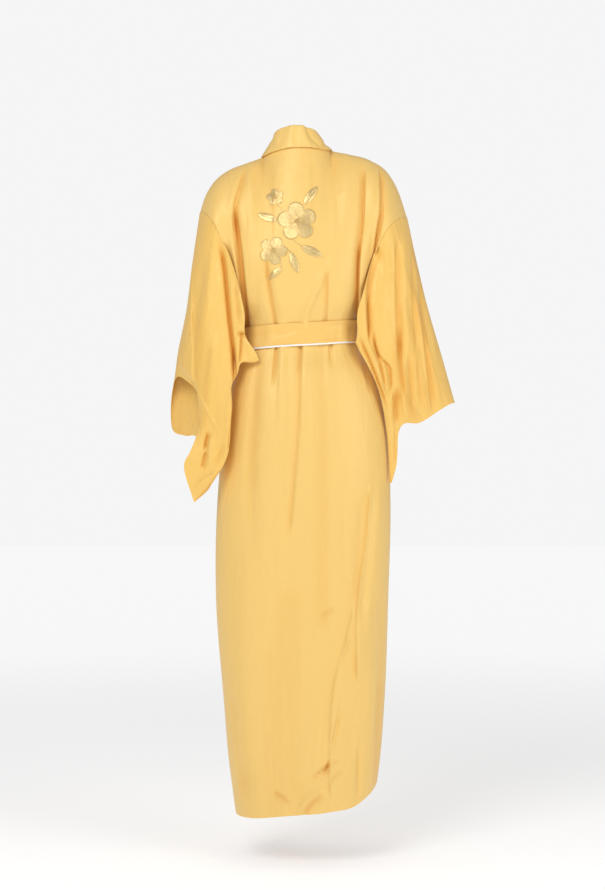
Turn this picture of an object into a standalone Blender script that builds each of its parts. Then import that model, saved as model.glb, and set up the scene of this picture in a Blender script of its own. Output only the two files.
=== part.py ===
"""A long worn robe with wide hanging sleeves, a collar band, a tied belt and raised flowers on its back.

Metres, +Z up, +X to the wearer's left, +Y to the back. The origin is at the nape, level with the
shoulders, where the robe rests on whoever wears it. Heights are given as drops below the origin.

A place on the body cloth is a level and an angle. The level runs from -1 along the shoulder to 0 at
the armpits, and below them it is metres down. The angle runs in degrees from 0 at the centre back
through 90 at the left side to 180 at the centre front, and is negative on the right.
"""

import math

import bmesh
import bpy
import numpy as np
from mathutils import Vector
from mathutils.bvhtree import BVHTree

# Cloth and sewing
WALL = 0.002
FOLDED_WALL = 0.0026  # the collar and the belt are folded cloth
SEAM_GAP = 0.0003
SEAM_TRIM = 0.0004  # drawn in from each side of a seam, so that the inner faces keep the gap too
SIDE_TRIM = 0.0005
SLEEVE_SEAM_GAP = 0.0007
LAP = 0.0088  # how far the outer front stands off the inner one and its collar
LAP_DEGREES = (92, 110)  # where it starts and where it is full
LAP_LEVELS = (-0.7, -0.4)
ARMPIT_DROP = 0.300

# Neck and collar
NECK_PART = 0.30  # share of the shoulder edge that the neckline takes, from the centre
NECK_BACK = 0.062
NECK_FRONT = 0.055
COLLAR_WIDTH = 0.050
COLLAR_LIFT = FOLDED_WALL + 0.0018  # the band takes in the edges of the panels
COLLAR_NECK_LIFT = 0.0008
COLLAR_OVER_DEGREES = 1.8
COLLAR_OVER_LEVEL = 0.0125
COLLAR_END_LEVEL = 0.45
COLLAR_TOP_HALF = 0.051
COLLAR_TOP_TAPER = 0.006
COLLAR_TOP_BACK = 0.056
COLLAR_TOP_CENTRE = 0.006
COLLAR_TOP_RISE = 0.047
COLLAR_SIDE_RISE = 0.030
COLLAR_FRONT_BACK = 0.010
COLLAR_FRONT_RISE = 0.026
COLLAR_FRONT_FALL = 0.060

# Belt
BELT_HEIGHT = 0.047
BELT_DROP = 0.4125
BELT_TILT = 0.010
BELT_LIFT = 0.0048
BELT_STEP_OUT = (84, 108)  # degrees over which the belt climbs onto the lapped fronts
BELT_STEP_IN = (246, 270)
PIPING_RADIUS = 0.0021
KNOT_ANGLE = 172.0
KNOT_SIZE = (0.068, 0.034, 0.054)
KNOT_SQUARE = 0.8
KNOT_PINCH = 0.22
KNOT_PINCH_WIDTH = 0.16
END_LENGTH = 0.430
END_TOP_GAP = 0.0010
END_TOP_LEAN = 2.2
END_LEAN = 11.0
END_TOP_DEGREES = 8.0
END_DEGREES = 20.0
END_OPENED = 0.16  # share of its length over which an end opens out
END_TAPER = 0.15
END_APART = 0.0025
END_DROP_IN = 0.013
END_WAVE = 0.002

# Shoulders
BACK_SWELL = 0.078
FRONT_SWELL = 0.065
ARMHOLE_SEWN = 0.63  # share of the armhole, from the top, that the sleeve is sewn to
SLEEVE_SEWN = 72  # degrees round the sleeve, from its fold, that are sewn
SLEEVE_FREE = 100  # and from where it hangs free

FIRST_FRONT_DEGREES = 90 + 1e-5  # past the side: its edge is then the front's own, and the armhole is open


def table(columns, *rows):
    """The rows as one array for each named column."""
    return {name: np.array([row[i] for row in rows], float) for i, name in enumerate(columns)}


BODY = table(
    ("drop", "left", "right", "back", "front", "square"),
    (0.300, 0.158, 0.160, 0.112, 0.108, 2.8),
    (0.345, 0.150, 0.153, 0.103, 0.104, 2.7),
    (0.380, 0.132, 0.136, 0.091, 0.096, 2.5),
    (0.450, 0.131, 0.138, 0.091, 0.096, 2.5),
    (0.490, 0.143, 0.164, 0.105, 0.106, 2.4),
    (0.580, 0.160, 0.190, 0.120, 0.114, 2.4),
    (0.680, 0.173, 0.200, 0.128, 0.121, 2.4),
    (0.780, 0.181, 0.203, 0.130, 0.126, 2.4),
    (1.000, 0.184, 0.198, 0.128, 0.130, 2.4),
    (1.220, 0.167, 0.190, 0.124, 0.128, 2.4),
    (1.360, 0.155, 0.179, 0.121, 0.124, 2.3),
    (1.420, 0.147, 0.171, 0.120, 0.122, 2.3),
    (1.480, 0.139, 0.162, 0.118, 0.120, 2.3),
)

# The shoulder line, as shares of the way from the side of the neck to the sleeve seam
SHOULDERS = {
    1: table(
        ("part", "out", "drop"),
        (0.00, 0.078, 0.015),
        (0.25, 0.118, 0.030),
        (0.50, 0.160, 0.047),
        (0.70, 0.190, 0.072),
        (0.85, 0.208, 0.102),
        (1.00, 0.220, 0.139),
    ),
    -1: table(
        ("part", "out", "drop"),
        (0.00, 0.068, 0.001),
        (0.25, 0.112, 0.010),
        (0.50, 0.158, 0.023),
        (0.70, 0.196, 0.049),
        (0.85, 0.220, 0.090),
        (1.00, 0.240, 0.150),
    ),
}

# The hem's drop all the way round, from the centre back through the left side
HEM = table(
    ("angle", "drop"),
    (0, 1.4565),
    (45, 1.468),
    (90, 1.467),
    (135, 1.450),
    (180, 1.425),
    (238, 1.394),
    (270, 1.398),
    (300, 1.424),
    (318, 1.4435),
    (340, 1.451),
    (360, 1.4565),
)

# Where each front ends against the collar, and where its overlap panel is sewn on
FRONT_EDGE = table(
    ("level", "angle"),
    (-1.00, 153),
    (-0.70, 149),
    (-0.40, 150),
    (-0.20, 157),
    (0.00, 170),
    (0.05, 178),
    (0.11, 193),
    (0.20, 208),
    (0.32, 220),
    (0.45, 227),
    (1.20, 229),
)
OVERLAP_SEAM_ANGLE = 187.0
OVERLAP_TOP_LEVEL = 0.085

# Troughs and ridges, each along a line from one level and angle to another
FOLDS = table(
    ("from_level", "from_angle", "to_level", "to_angle", "height", "width"),
    (-0.90, 50, 0.25, 44, -0.021, 4.0),
    (-0.70, 63, 0.08, 64, 0.007, 5.0),
    (-0.90, -47, 0.25, -51, -0.021, 4.0),
    (-0.70, -64, 0.08, -70, 0.007, 5.0),
    (-0.20, 19, 0.09, 17, -0.003, 4.0),
    (-0.25, -14, 0.09, -12, -0.003, 4.0),
    (0.14, 35, 0.60, 30, -0.004, 6.0),
    (0.14, -30, 0.55, -24, -0.003, 6.0),
    (0.40, -52, 0.80, -38, -0.006, 5.0),
    (0.60, 12, 1.30, 22, -0.003, 8.0),
    (0.75, -20, 1.30, -10, 0.003, 8.0),
    (-0.85, 128, 0.06, 118, -0.014, 5.0),
    (-0.85, -128, 0.06, -118, -0.014, 5.0),
    (0.16, 150, 0.90, 140, -0.005, 7.0),
    (0.16, 205, 1.30, 214, -0.005, 7.0),
)
FOLD_ENDS = 0.3  # share of a fold's length over which each end fades

# Sleeves, from the armhole towards the cuff. Each section is four places across, from the bottom seam out
# to the fold along the arm, then how far back the seam and the fold lie, and half the depth between.
SLEEVE_COLUMNS = (
    "along",
    "seam_out",
    "seam_drop",
    "low_out",
    "low_drop",
    "high_out",
    "high_drop",
    "fold_out",
    "fold_drop",
    "seam_back",
    "fold_back",
    "half_depth",
    "front_out",
)
SLEEVES = {
    1: table(
        SLEEVE_COLUMNS,
        (0.00, 0.087, 0.470, 0.127, 0.355, 0.163, 0.232, 0.220, 0.139, 0.094, 0.000, 0.070, 0.036),
        (0.25, 0.140, 0.515, 0.167, 0.430, 0.197, 0.318, 0.235, 0.240, 0.098, -0.004, 0.058, 0.006),
        (0.50, 0.146, 0.585, 0.183, 0.490, 0.218, 0.400, 0.249, 0.350, 0.108, -0.008, 0.054, 0.000),
        (0.75, 0.160, 0.690, 0.199, 0.600, 0.233, 0.500, 0.270, 0.455, 0.108, -0.012, 0.052, 0.000),
    ),
    -1: table(
        SLEEVE_COLUMNS,
        (0.00, 0.124, 0.432, 0.141, 0.350, 0.170, 0.232, 0.240, 0.150, 0.084, 0.000, 0.070, 0.030),
        (0.25, 0.150, 0.480, 0.178, 0.410, 0.216, 0.325, 0.262, 0.250, 0.086, -0.005, 0.058, 0.006),
        (0.50, 0.177, 0.542, 0.205, 0.480, 0.247, 0.410, 0.286, 0.350, 0.074, -0.010, 0.053, 0.000),
        (0.75, 0.194, 0.634, 0.224, 0.570, 0.267, 0.507, 0.317, 0.455, 0.052, -0.015, 0.048, 0.000),
    ),
}
# The cuffs, from the bottom seam by the back to the fold and by the front. The left one's back edge
# arches up over the forearm, and the right one's ends in a narrow strip that hangs at the seam.
CUFF_COLUMNS = ("around", "out", "drop", "back")
CUFFS = {
    1: table(
        CUFF_COLUMNS,
        (0, 0.229, 0.780, 0.080),
        (25, 0.250, 0.705, 0.092),
        (50, 0.236, 0.668, 0.092),
        (75, 0.223, 0.635, 0.087),
        (100, 0.208, 0.582, 0.072),
        (125, 0.222, 0.540, 0.060),
        (150, 0.247, 0.514, 0.040),
        (180, 0.274, 0.508, 0.000),
        (205, 0.286, 0.560, -0.034),
        (230, 0.285, 0.618, -0.048),
        (260, 0.256, 0.634, -0.046),
        (290, 0.228, 0.638, -0.028),
        (320, 0.190, 0.690, 0.046),
        (345, 0.197, 0.750, 0.070),
        (360, 0.229, 0.780, 0.080),
    ),
    -1: table(
        CUFF_COLUMNS,
        (0, 0.200, 0.740, 0.050),
        (12, 0.205, 0.734, 0.053),
        (24, 0.214, 0.700, 0.053),
        (48, 0.220, 0.622, 0.046),
        (60, 0.230, 0.609, 0.040),
        (84, 0.265, 0.606, 0.028),
        (108, 0.296, 0.588, 0.020),
        (130, 0.319, 0.573, 0.012),
        (155, 0.338, 0.563, -0.001),
        (180, 0.347, 0.561, -0.020),
        (210, 0.332, 0.556, -0.040),
        (240, 0.296, 0.566, -0.047),
        (270, 0.262, 0.582, -0.036),
        (300, 0.236, 0.598, -0.008),
        (324, 0.218, 0.636, 0.026),
        (348, 0.203, 0.725, 0.046),
        (360, 0.200, 0.740, 0.050),
    ),
}
SLEEVE_FOLDS = {
    1: table(
        ("from_along", "from_around", "to_along", "to_around", "height", "width"),
        (0.05, 132, 0.85, 118, 0.006, 9),
        (0.05, 112, 0.80, 98, -0.008, 9),
        (0.25, 80, 0.95, 72, -0.007, 9),
        (0.10, 235, 0.85, 245, -0.008, 10),
        (0.20, 275, 0.90, 270, 0.006, 10),
    ),
    -1: table(
        ("from_along", "from_around", "to_along", "to_around", "height", "width"),
        (0.05, 130, 1.10, 128, -0.009, 8),
        (0.10, 108, 1.10, 104, -0.009, 8),
        (0.30, 80, 1.05, 80, -0.007, 8),
        (0.10, 235, 1.05, 240, -0.008, 10),
        (0.20, 275, 1.05, 272, 0.006, 10),
    ),
}

# The flower spray: centres and sizes across and up, from the spray's own centre
SPRAY_CENTRE = (0.022, -0.197)
SPRAY_STAND_OFF = 0.0009
PETALS = 5
LEAF_THICK = 0.0024
BLOSSOMS = table(
    ("across", "up", "radius", "turn", "thick"),
    (-0.018, 0.028, 0.043, 12, 0.0032),
    (0.034, -0.036, 0.031, 40, 0.0028),
    (0.030, 0.083, 0.019, 80, 0.0024),
)
LEAVES = table(
    ("across", "up", "length", "width", "turn"),
    (-0.048, 0.086, 0.050, 0.018, 125),
    (0.046, 0.038, 0.046, 0.018, 20),
    (-0.050, -0.038, 0.052, 0.020, 205),
    (-0.012, -0.062, 0.050, 0.018, 250),
    (0.030, -0.086, 0.040, 0.015, 320),
)


def along(rows, key, column, at):
    """A column's value at a place, on a smooth curve through the rows."""
    places = rows[key]
    values = rows[column]
    slopes = np.gradient(values, places)
    at = np.clip(at, places[0], places[-1])
    i = np.clip(np.searchsorted(places, at, side="right") - 1, 0, len(places) - 2)
    step = places[i + 1] - places[i]
    t = (at - places[i]) / step
    start = (1 + 2 * t) * (1 - t) ** 2 * values[i] + t * (1 - t) ** 2 * step * slopes[i]
    end = t * t * (3 - 2 * t) * values[i + 1] + t * t * (t - 1) * step * slopes[i + 1]
    return start + end


def ramp(value, low, high):
    """0 below low, 1 above high and smooth between."""
    t = np.clip((value - low) / (high - low), 0, 1)
    return t * t * (3 - 2 * t)


def bell(value, width):
    return np.exp(-((value / width) ** 2))


def by_side(sine, left, right):
    return np.where(sine >= 0, left, right)


def section_point(drop, angle):
    """A point of the plain body tube at a drop below the origin."""
    sine = np.sin(np.radians(angle))
    cosine = np.cos(np.radians(angle))
    power = 2 / along(BODY, "drop", "square", drop)
    half = by_side(sine, along(BODY, "drop", "left", drop), along(BODY, "drop", "right", drop))
    depth = np.where(
        cosine >= 0, along(BODY, "drop", "back", drop), along(BODY, "drop", "front", drop)
    )
    x = half * np.sign(sine) * np.abs(sine) ** power
    y = depth * np.sign(cosine) * np.abs(cosine) ** power
    return np.stack(np.broadcast_arrays(x, y, -drop), axis=-1)


def shoulder_point(out, sine, cosine):
    """A point of the neckline and shoulder line, out of which the body cloth hangs."""
    neck = np.clip(out / NECK_PART, 0, 1) * math.pi / 2
    part = np.clip((out - NECK_PART) / (1 - NECK_PART), 0, 1)
    reach = by_side(
        sine, along(SHOULDERS[1], "part", "out", part), along(SHOULDERS[-1], "part", "out", part)
    )
    fall = by_side(
        sine, along(SHOULDERS[1], "part", "drop", part), along(SHOULDERS[-1], "part", "drop", part)
    )
    x = np.where(sine >= 0, 1, -1) * reach * np.sin(neck)
    y = np.cos(neck) * np.where(cosine >= 0, NECK_BACK, -NECK_FRONT)
    z = -fall * np.sin(neck) ** 2
    return np.stack(np.broadcast_arrays(x, y, z), axis=-1)


def yoke_point(share, angle):
    """A point between the shoulder line, at share 0, and the armpits, at share 1."""
    sine = np.sin(np.radians(angle))
    cosine = np.cos(np.radians(angle))
    out = np.degrees(np.arcsin(np.clip(np.abs(sine), 0, 1))) / 90
    top = shoulder_point(out, sine, cosine)
    low = section_point(np.full_like(share, ARMPIT_DROP), angle)
    turn = share * math.pi / 2
    hanging = ramp(out, 0.15, 0.45)
    x = top[..., 0] + (low[..., 0] - top[..., 0]) * np.sin(turn) ** 1.2
    y = top[..., 1] + (low[..., 1] - top[..., 1]) * np.sin(turn)
    z_share = (1 - hanging) * share + hanging * (1 - np.cos(turn))
    z = top[..., 2] + (low[..., 2] - top[..., 2]) * z_share
    swell = np.where(cosine >= 0, BACK_SWELL, -FRONT_SWELL)
    y = y + swell * out**3 * np.sin(share * math.pi)
    return np.stack([x, y, z], axis=-1)


def smooth_body(level, angle):
    level, angle = np.broadcast_arrays(np.asarray(level, float), np.asarray(angle, float))
    below = section_point(ARMPIT_DROP + np.maximum(level, 0), angle)
    above = yoke_point(np.clip(1 + level, 0, 1), angle)
    return np.where((level < 0)[..., None], above, below)


def unit(vectors):
    return vectors / np.linalg.norm(vectors, axis=-1, keepdims=True)


def outward(level, angle):
    """The direction out of the body cloth."""
    nearby = 0.004
    level = np.maximum(level, -1 + nearby)
    around = smooth_body(level, angle + 0.5) - smooth_body(level, angle - 0.5)
    down = smooth_body(level + nearby, angle) - smooth_body(level - nearby, angle)
    return unit(np.cross(around, down))


def turned(angle, other):
    """Degrees from one angle to another, the short way round."""
    return (angle - other + 180) % 360 - 180


def fold_height(level, angle):
    total = np.zeros(np.broadcast(level, angle).shape)
    for i in range(len(FOLDS["height"])):
        low, high = FOLDS["from_level"][i], FOLDS["to_level"][i]
        share = (level - low) / (high - low)
        line = FOLDS["from_angle"][i] + share * (FOLDS["to_angle"][i] - FOLDS["from_angle"][i])
        shown = ramp(share, 0, FOLD_ENDS) * (1 - ramp(share, 1 - FOLD_ENDS, 1))
        total += FOLDS["height"][i] * shown * bell(turned(angle, line), FOLDS["width"][i])
    return total


def body_cloth(level, angle, lift=0.0):
    """Points of the body cloth's outer face, folds and all, moved out by lift."""
    level, angle = np.broadcast_arrays(np.asarray(level, float), np.asarray(angle, float))
    height = fold_height(level, angle) + lift
    return smooth_body(level, angle) + outward(level, angle) * height[..., None]


def front_lap(level, angle):
    """How far the outer front stands off the inner one: all of LAP where they overlap."""
    return LAP * ramp(angle, *LAP_DEGREES) * ramp(level, *LAP_LEVELS)


def hem_level(angle):
    return along(HEM, "angle", "drop", np.asarray(angle, float) % 360) - ARMPIT_DROP


def cloth_mesh(name, grids, merge=False, round_columns=False):
    """A mesh of quads through grids of points, rows down and columns in the order of the angle."""
    bm = bmesh.new()
    for points in grids:
        rows = [[bm.verts.new(point) for point in row] for row in points.tolist()]
        for upper, lower in zip(rows, rows[1:]):
            last = len(upper) if round_columns else len(upper) - 1
            for i in range(last):
                j = (i + 1) % len(upper)
                bm.faces.new((upper[i], upper[j], lower[j], lower[i]))
    if merge:
        bmesh.ops.remove_doubles(bm, verts=bm.verts, dist=1e-5)
    mesh = bpy.data.meshes.new(name)
    bm.to_mesh(mesh)
    bm.free()
    return mesh


def finish_material(name, colour, roughness, metallic=0.0):
    material = bpy.data.materials.new(name)
    material.use_nodes = True
    shader = material.node_tree.nodes["Principled BSDF"]
    shader.inputs["Base Color"].default_value = (*colour, 1)
    shader.inputs["Roughness"].default_value = roughness
    shader.inputs["Metallic"].default_value = metallic
    return material


def add_object(name, data, material):
    piece = bpy.data.objects.new(name, data)
    data.materials.append(material)
    bpy.context.scene.collection.objects.link(piece)
    return piece


def add_cloth(name, mesh, wall, material):
    """The mesh is the cloth's outer face, and the wall goes in from it."""
    piece = add_object(name, mesh, material)
    mesh.shade_smooth()
    solidify = piece.modifiers.new("wall", "SOLIDIFY")
    solidify.thickness = wall
    solidify.offset = -1
    solidify.use_even_offset = True
    return piece


def trim_columns(points, first=0.0, last=0.0):
    """Draws the first and last columns in, to leave the gap at a seam."""
    points = points.copy()
    points[:, 0] += unit(points[:, 1] - points[:, 0]) * first
    points[:, -1] += unit(points[:, -2] - points[:, -1]) * last
    return points


# Shares of the way from the front edge, or the side of the neck, to the side seam
COLUMN_PARTS = np.array([0, 0.11, 0.21, 0.286, 0.35, 0.42, 0.5, 0.6, 0.72, 0.85, 1])
NECK_COLUMNS = np.array([0, 0.06, 0.12, 0.18, 0.24])
YOKE_SHARES = np.array([0, 0.105, 0.21, 0.315, 0.42, 0.525, 0.63, 0.75, 0.87])
UPPER_LEVELS = np.array([0, 0.045, 0.08, 0.115, 0.15, 0.19, 0.24, 0.31, 0.39])
SKIRT_PARTS = np.array([0, 0.14, 0.28, 0.42, 0.56, 0.7, 0.82, 0.92, 1])
SKIRT_LEVEL = 0.48


def panel_levels(angles, raise_hem=0.0):
    """A level for each row and column, with the lowest row along the hem."""
    fixed = np.concatenate([YOKE_SHARES - 1, UPPER_LEVELS])
    upper = np.repeat(fixed[:, None], angles.shape[-1], axis=1)
    hem = hem_level(angles[-1]) - raise_hem
    skirt = SKIRT_LEVEL + SKIRT_PARTS[:, None] * (hem - SKIRT_LEVEL)
    return np.concatenate([upper, skirt])


def row_levels():
    """The plain level of each row, before the hem's own slope."""
    hem = HEM["drop"].mean() - ARMPIT_DROP
    skirt = SKIRT_LEVEL + SKIRT_PARTS * (hem - SKIRT_LEVEL)
    return np.concatenate([YOKE_SHARES - 1, UPPER_LEVELS, skirt])


def in_angle_order(points, side):
    return points if side > 0 else points[:, ::-1]


def add_body_length(side, material):
    """One width of cloth from the back hem over the shoulder to the front hem."""
    rows = row_levels()
    back_parts = np.concatenate([NECK_COLUMNS, NECK_PART + COLUMN_PARTS * (1 - NECK_PART)])
    back_angles = np.repeat(side * 90 * back_parts[None, :], len(rows), axis=0)
    back = body_cloth(panel_levels(back_angles), back_angles)
    back = trim_columns(back, SEAM_TRIM, SIDE_TRIM)

    edge = along(FRONT_EDGE, "level", "angle", rows)
    edge = np.minimum(edge, OVERLAP_SEAM_ANGLE)[:, None]
    front_angles = edge + (FIRST_FRONT_DEGREES - edge) * COLUMN_PARTS[None, :]
    levels = panel_levels(side * front_angles)
    lift = front_lap(levels, front_angles) if side > 0 else 0.0
    front = body_cloth(levels, side * front_angles, lift)
    front = trim_columns(front, SEAM_TRIM, SIDE_TRIM)
    front[0] = back[0, len(NECK_COLUMNS):]

    name = "body_left" if side > 0 else "body_right"
    mesh = cloth_mesh(
        name, [in_angle_order(back, side), in_angle_order(front[:, ::-1], side)], merge=True
    )
    return add_cloth(name, mesh, WALL, material)


def add_overlap(side, material):
    """The gusset between the front of a body length and the collar."""
    rows = row_levels()
    rows = np.concatenate([[OVERLAP_TOP_LEVEL], rows[rows > OVERLAP_TOP_LEVEL + 0.01]])
    edge = along(FRONT_EDGE, "level", "angle", rows)[:, None]
    parts = np.linspace(0, 1, 6)[None, :]
    angles = OVERLAP_SEAM_ANGLE + (edge - OVERLAP_SEAM_ANGLE) * parts
    fixed = np.repeat(rows[:, None], angles.shape[1], axis=1)
    hem = hem_level(side * angles[-1])
    skirt = (rows - SKIRT_LEVEL) / (rows[-1] - SKIRT_LEVEL)
    sloped = SKIRT_LEVEL + skirt[:, None] * (hem - SKIRT_LEVEL)
    levels = np.where(rows[:, None] > SKIRT_LEVEL, sloped, fixed)
    lift = front_lap(levels, angles) if side > 0 else 0.0
    points = body_cloth(levels, side * angles, lift)
    points = trim_columns(points, SEAM_TRIM, 0)
    name = "overlap_left" if side > 0 else "overlap_right"
    mesh = cloth_mesh(name, [in_angle_order(points, side)])
    return add_cloth(name, mesh, WALL, material)


def laid_across(side, levels, angles, direction, width):
    """Levels and angles that far across the body cloth from a line on it, in short steps."""
    steps = 10
    small_level, small_angle = 0.002, 0.5
    for _ in range(steps):
        levels = np.clip(levels, small_level - 1, None)
        place = smooth_body(levels, side * angles)
        around = smooth_body(levels, side * (angles + small_angle)) - place
        down = smooth_body(levels + small_level, side * angles) - place
        step = direction * width / steps
        both = (around * down).sum(-1)
        around_square = (around * around).sum(-1)
        down_square = (down * down).sum(-1)
        on_around = (around * step).sum(-1)
        on_down = (down * step).sum(-1)
        bottom = around_square * down_square - both**2
        angles = angles + small_angle * (on_around * down_square - on_down * both) / bottom
        levels = levels + small_level * (on_down * around_square - on_around * both) / bottom
    return levels, angles


def front_collar(side, levels):
    """Seam and free edge of the collar down one front. It stands at the neck and lies down below."""
    angles = along(FRONT_EDGE, "level", "angle", levels) - COLLAR_OVER_DEGREES
    lift = (front_lap(levels, angles) if side > 0 else 0) + COLLAR_LIFT
    seam = body_cloth(levels, side * angles, lift)
    run = unit(np.gradient(seam, axis=0))
    across = unit(np.cross(run, outward(levels, side * angles))) * side
    laid_level, laid_angle = laid_across(side, levels, angles, across, COLLAR_WIDTH)
    laid_lift = (front_lap(laid_level, laid_angle) if side > 0 else 0) + COLLAR_LIFT
    laid = body_cloth(laid_level, side * laid_angle, laid_lift)
    standing = np.stack(
        [
            COLLAR_TOP_CENTRE + side * (COLLAR_TOP_HALF - COLLAR_TOP_TAPER * (levels + 1)),
            seam[:, 1] + COLLAR_FRONT_BACK,
            COLLAR_FRONT_RISE - COLLAR_FRONT_FALL * (levels + 1),
        ],
        axis=-1,
    )
    on_cloth = ramp(levels, -0.98, -0.40)[:, None]
    free = standing * (1 - on_cloth) + laid * on_cloth
    width = np.linalg.norm(free - seam, axis=-1, keepdims=True)
    return seam, seam + (free - seam) * np.maximum(COLLAR_WIDTH / width, 1)


def neck_collar():
    """Seam and free edge of the collar round the back of the neck, from the left side to the right."""
    parts = np.concatenate([NECK_COLUMNS[::-1], -NECK_COLUMNS[1:]])
    seam = body_cloth(COLLAR_OVER_LEVEL - 1, parts * 90, COLLAR_LIFT + COLLAR_NECK_LIFT)
    turn = parts / NECK_PART * math.pi / 2
    free = np.stack(
        [
            COLLAR_TOP_CENTRE + COLLAR_TOP_HALF * np.sin(turn),
            COLLAR_TOP_BACK * np.cos(turn),
            COLLAR_SIDE_RISE + (COLLAR_TOP_RISE - COLLAR_SIDE_RISE) * np.cos(turn),
        ],
        axis=-1,
    )
    return seam, free


def add_collar(material):
    """One folded band, from the left front round the neck to the right front."""
    levels = row_levels()
    levels = np.append(levels[levels < COLLAR_END_LEVEL - 0.02], COLLAR_END_LEVEL)
    left_seam, left_free = front_collar(1, levels)
    right_seam, right_free = front_collar(-1, levels)
    back_seam, back_free = neck_collar()
    seam = np.concatenate([left_seam[::-1], back_seam, right_seam])
    free = np.concatenate([left_free[::-1], back_free, right_free])
    parts = np.linspace(0, 1, 5)[:, None, None]
    mesh = cloth_mesh("collar", [(seam[None] * (1 - parts) + free[None] * parts)[::-1, ::-1]])
    return add_cloth("collar", mesh, FOLDED_WALL, material)


def sleeve_section(side, row, around):
    """The closed outline of one section, from the bottom seam by the back to the fold and by the front."""
    section = {name: values[row] for name, values in SLEEVES[side].items()}
    across = (1 - np.cos(np.radians(around))) / 2
    places = table(
        ("across", "out", "drop"),
        (0, section["seam_out"], section["seam_drop"]),
        (1 / 3, section["low_out"], section["low_drop"]),
        (2 / 3, section["high_out"], section["high_drop"]),
        (1, section["fold_out"], section["fold_drop"]),
    )
    x = along(places, "across", "out", across)
    z = -along(places, "across", "drop", across)
    middle = section["seam_back"] + (section["fold_back"] - section["seam_back"]) * across
    turn = np.sin(np.radians(around))
    depth = section["half_depth"] * turn * (0.25 + 0.75 * across)
    x = x + section["front_out"] * np.maximum(-turn, 0)
    return np.stack([side * x, middle + depth, z], axis=-1)


def sleeve_armhole(side, around):
    """The first outline: sewn to the body cloth round the top, and hanging free below."""
    plain = sleeve_section(side, 0, around)
    from_top = np.abs(around - 180)
    share = np.clip(from_top / SLEEVE_SEWN, 0, 1) * ARMHOLE_SEWN
    angle = side * np.where(around <= 180, 90 - 1e-4, 90 + 1e-4)
    sewn = smooth_body(share - 1, angle)
    return plain + (sewn - plain) * (1 - ramp(from_top, SLEEVE_SEWN, SLEEVE_FREE))[:, None]


def sleeve_cuff(side, around):
    x = side * along(CUFFS[side], "around", "out", around)
    y = along(CUFFS[side], "around", "back", around)
    z = -along(CUFFS[side], "around", "drop", around)
    return np.stack([x, y, z], axis=-1)


def sleeve_fold_height(side, alongs, around):
    rows = SLEEVE_FOLDS[side]
    total = np.zeros(np.broadcast(alongs, around).shape)
    for i in range(len(rows["height"])):
        low, high = rows["from_along"][i], rows["to_along"][i]
        share = (alongs - low) / (high - low)
        line = rows["from_around"][i] + share * (rows["to_around"][i] - rows["from_around"][i])
        shown = ramp(share, 0, FOLD_ENDS) * (1 - ramp(share, 1 - FOLD_ENDS, 1))
        total += rows["height"][i] * shown * bell(turned(around, line), rows["width"][i])
    return total


def sleeve_cloth(side, alongs, around):
    """Points of a sleeve's outer face, a row for each place along it."""
    keys = np.append(SLEEVES[side]["along"], 1.0)
    outlines = [sleeve_armhole(side, around)]
    outlines += [sleeve_section(side, row, around) for row in range(1, len(keys) - 1)]
    outlines.append(sleeve_cuff(side, around))
    outlines = np.array(outlines)
    points = np.empty((len(alongs), len(around), 3))
    for i in range(len(around)):
        for axis in range(3):
            rows = {"along": keys, "value": outlines[:, i, axis]}
            points[:, i, axis] = along(rows, "along", "value", alongs)
    next_point = np.roll(points, -1, axis=1) - np.roll(points, 1, axis=1)
    down = np.gradient(points, axis=0)
    normal = unit(np.cross(next_point, down)) * -side
    height = sleeve_fold_height(side, alongs[:, None], around[None, :])
    return points + normal * height[..., None]


def add_sleeve(side, material):
    alongs = np.linspace(0, 1, 15)
    around = np.arange(0, 360, 12.0)
    points = sleeve_cloth(side, alongs, around)
    points[0] += unit(points[1] - points[0]) * SLEEVE_SEAM_GAP
    name = "sleeve_left" if side > 0 else "sleeve_right"
    ordered = points[:, ::-1] if side > 0 else points
    mesh = cloth_mesh(name, [ordered], round_columns=True)
    return add_cloth(name, mesh, WALL, material)


def belt_middle(angle):
    return BELT_DROP + BELT_TILT * np.sin(np.radians(angle)) - ARMPIT_DROP


def belt_point(angle, below_middle, lift):
    """A point on the belt's face, over the lapped fronts and their collar."""
    over = (LAP + COLLAR_LIFT) * ramp(angle, *BELT_STEP_OUT) * (1 - ramp(angle, *BELT_STEP_IN))
    level = belt_middle(angle) + below_middle
    return smooth_body(level, angle) + outward(level, angle) * (over + lift)[..., None]


def add_belt(cloth, cord):
    angles = np.arange(0, 360, 6.0)
    heights = np.linspace(-BELT_HEIGHT / 2, BELT_HEIGHT / 2, 3)[:, None]
    band = belt_point(angles, heights, np.full((3, len(angles)), BELT_LIFT))
    mesh = cloth_mesh("belt_band", [band], round_columns=True)
    add_cloth("belt_band", mesh, FOLDED_WALL, cloth)

    below = BELT_HEIGHT / 2 + PIPING_RADIUS + SEAM_GAP
    ring = belt_point(angles, below, np.full(len(angles), BELT_LIFT - FOLDED_WALL / 3))
    add_cord("belt_piping", ring, PIPING_RADIUS, cord, closed=True)


def add_cord(name, points, radius, material, closed=False):
    curve = bpy.data.curves.new(name, "CURVE")
    curve.dimensions = "3D"
    curve.bevel_depth = radius
    curve.bevel_resolution = 1
    curve.use_fill_caps = not closed
    spline = curve.splines.new("POLY")
    spline.points.add(len(points) - 1)
    for place, point in zip(spline.points, points.tolist()):
        place.co = (*point, 1)
    spline.use_cyclic_u = closed
    return add_object(name, curve, material)


def knot_centre():
    lift = np.array([BELT_LIFT + SEAM_GAP + KNOT_SIZE[1] / 2])
    return belt_point(np.array([KNOT_ANGLE]), 0.0, lift)[0]


def knot_pinch(across):
    """The knot's height there, as a share of its full height."""
    return 1 - KNOT_PINCH * bell(across / KNOT_SIZE[0], KNOT_PINCH_WIDTH)


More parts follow.
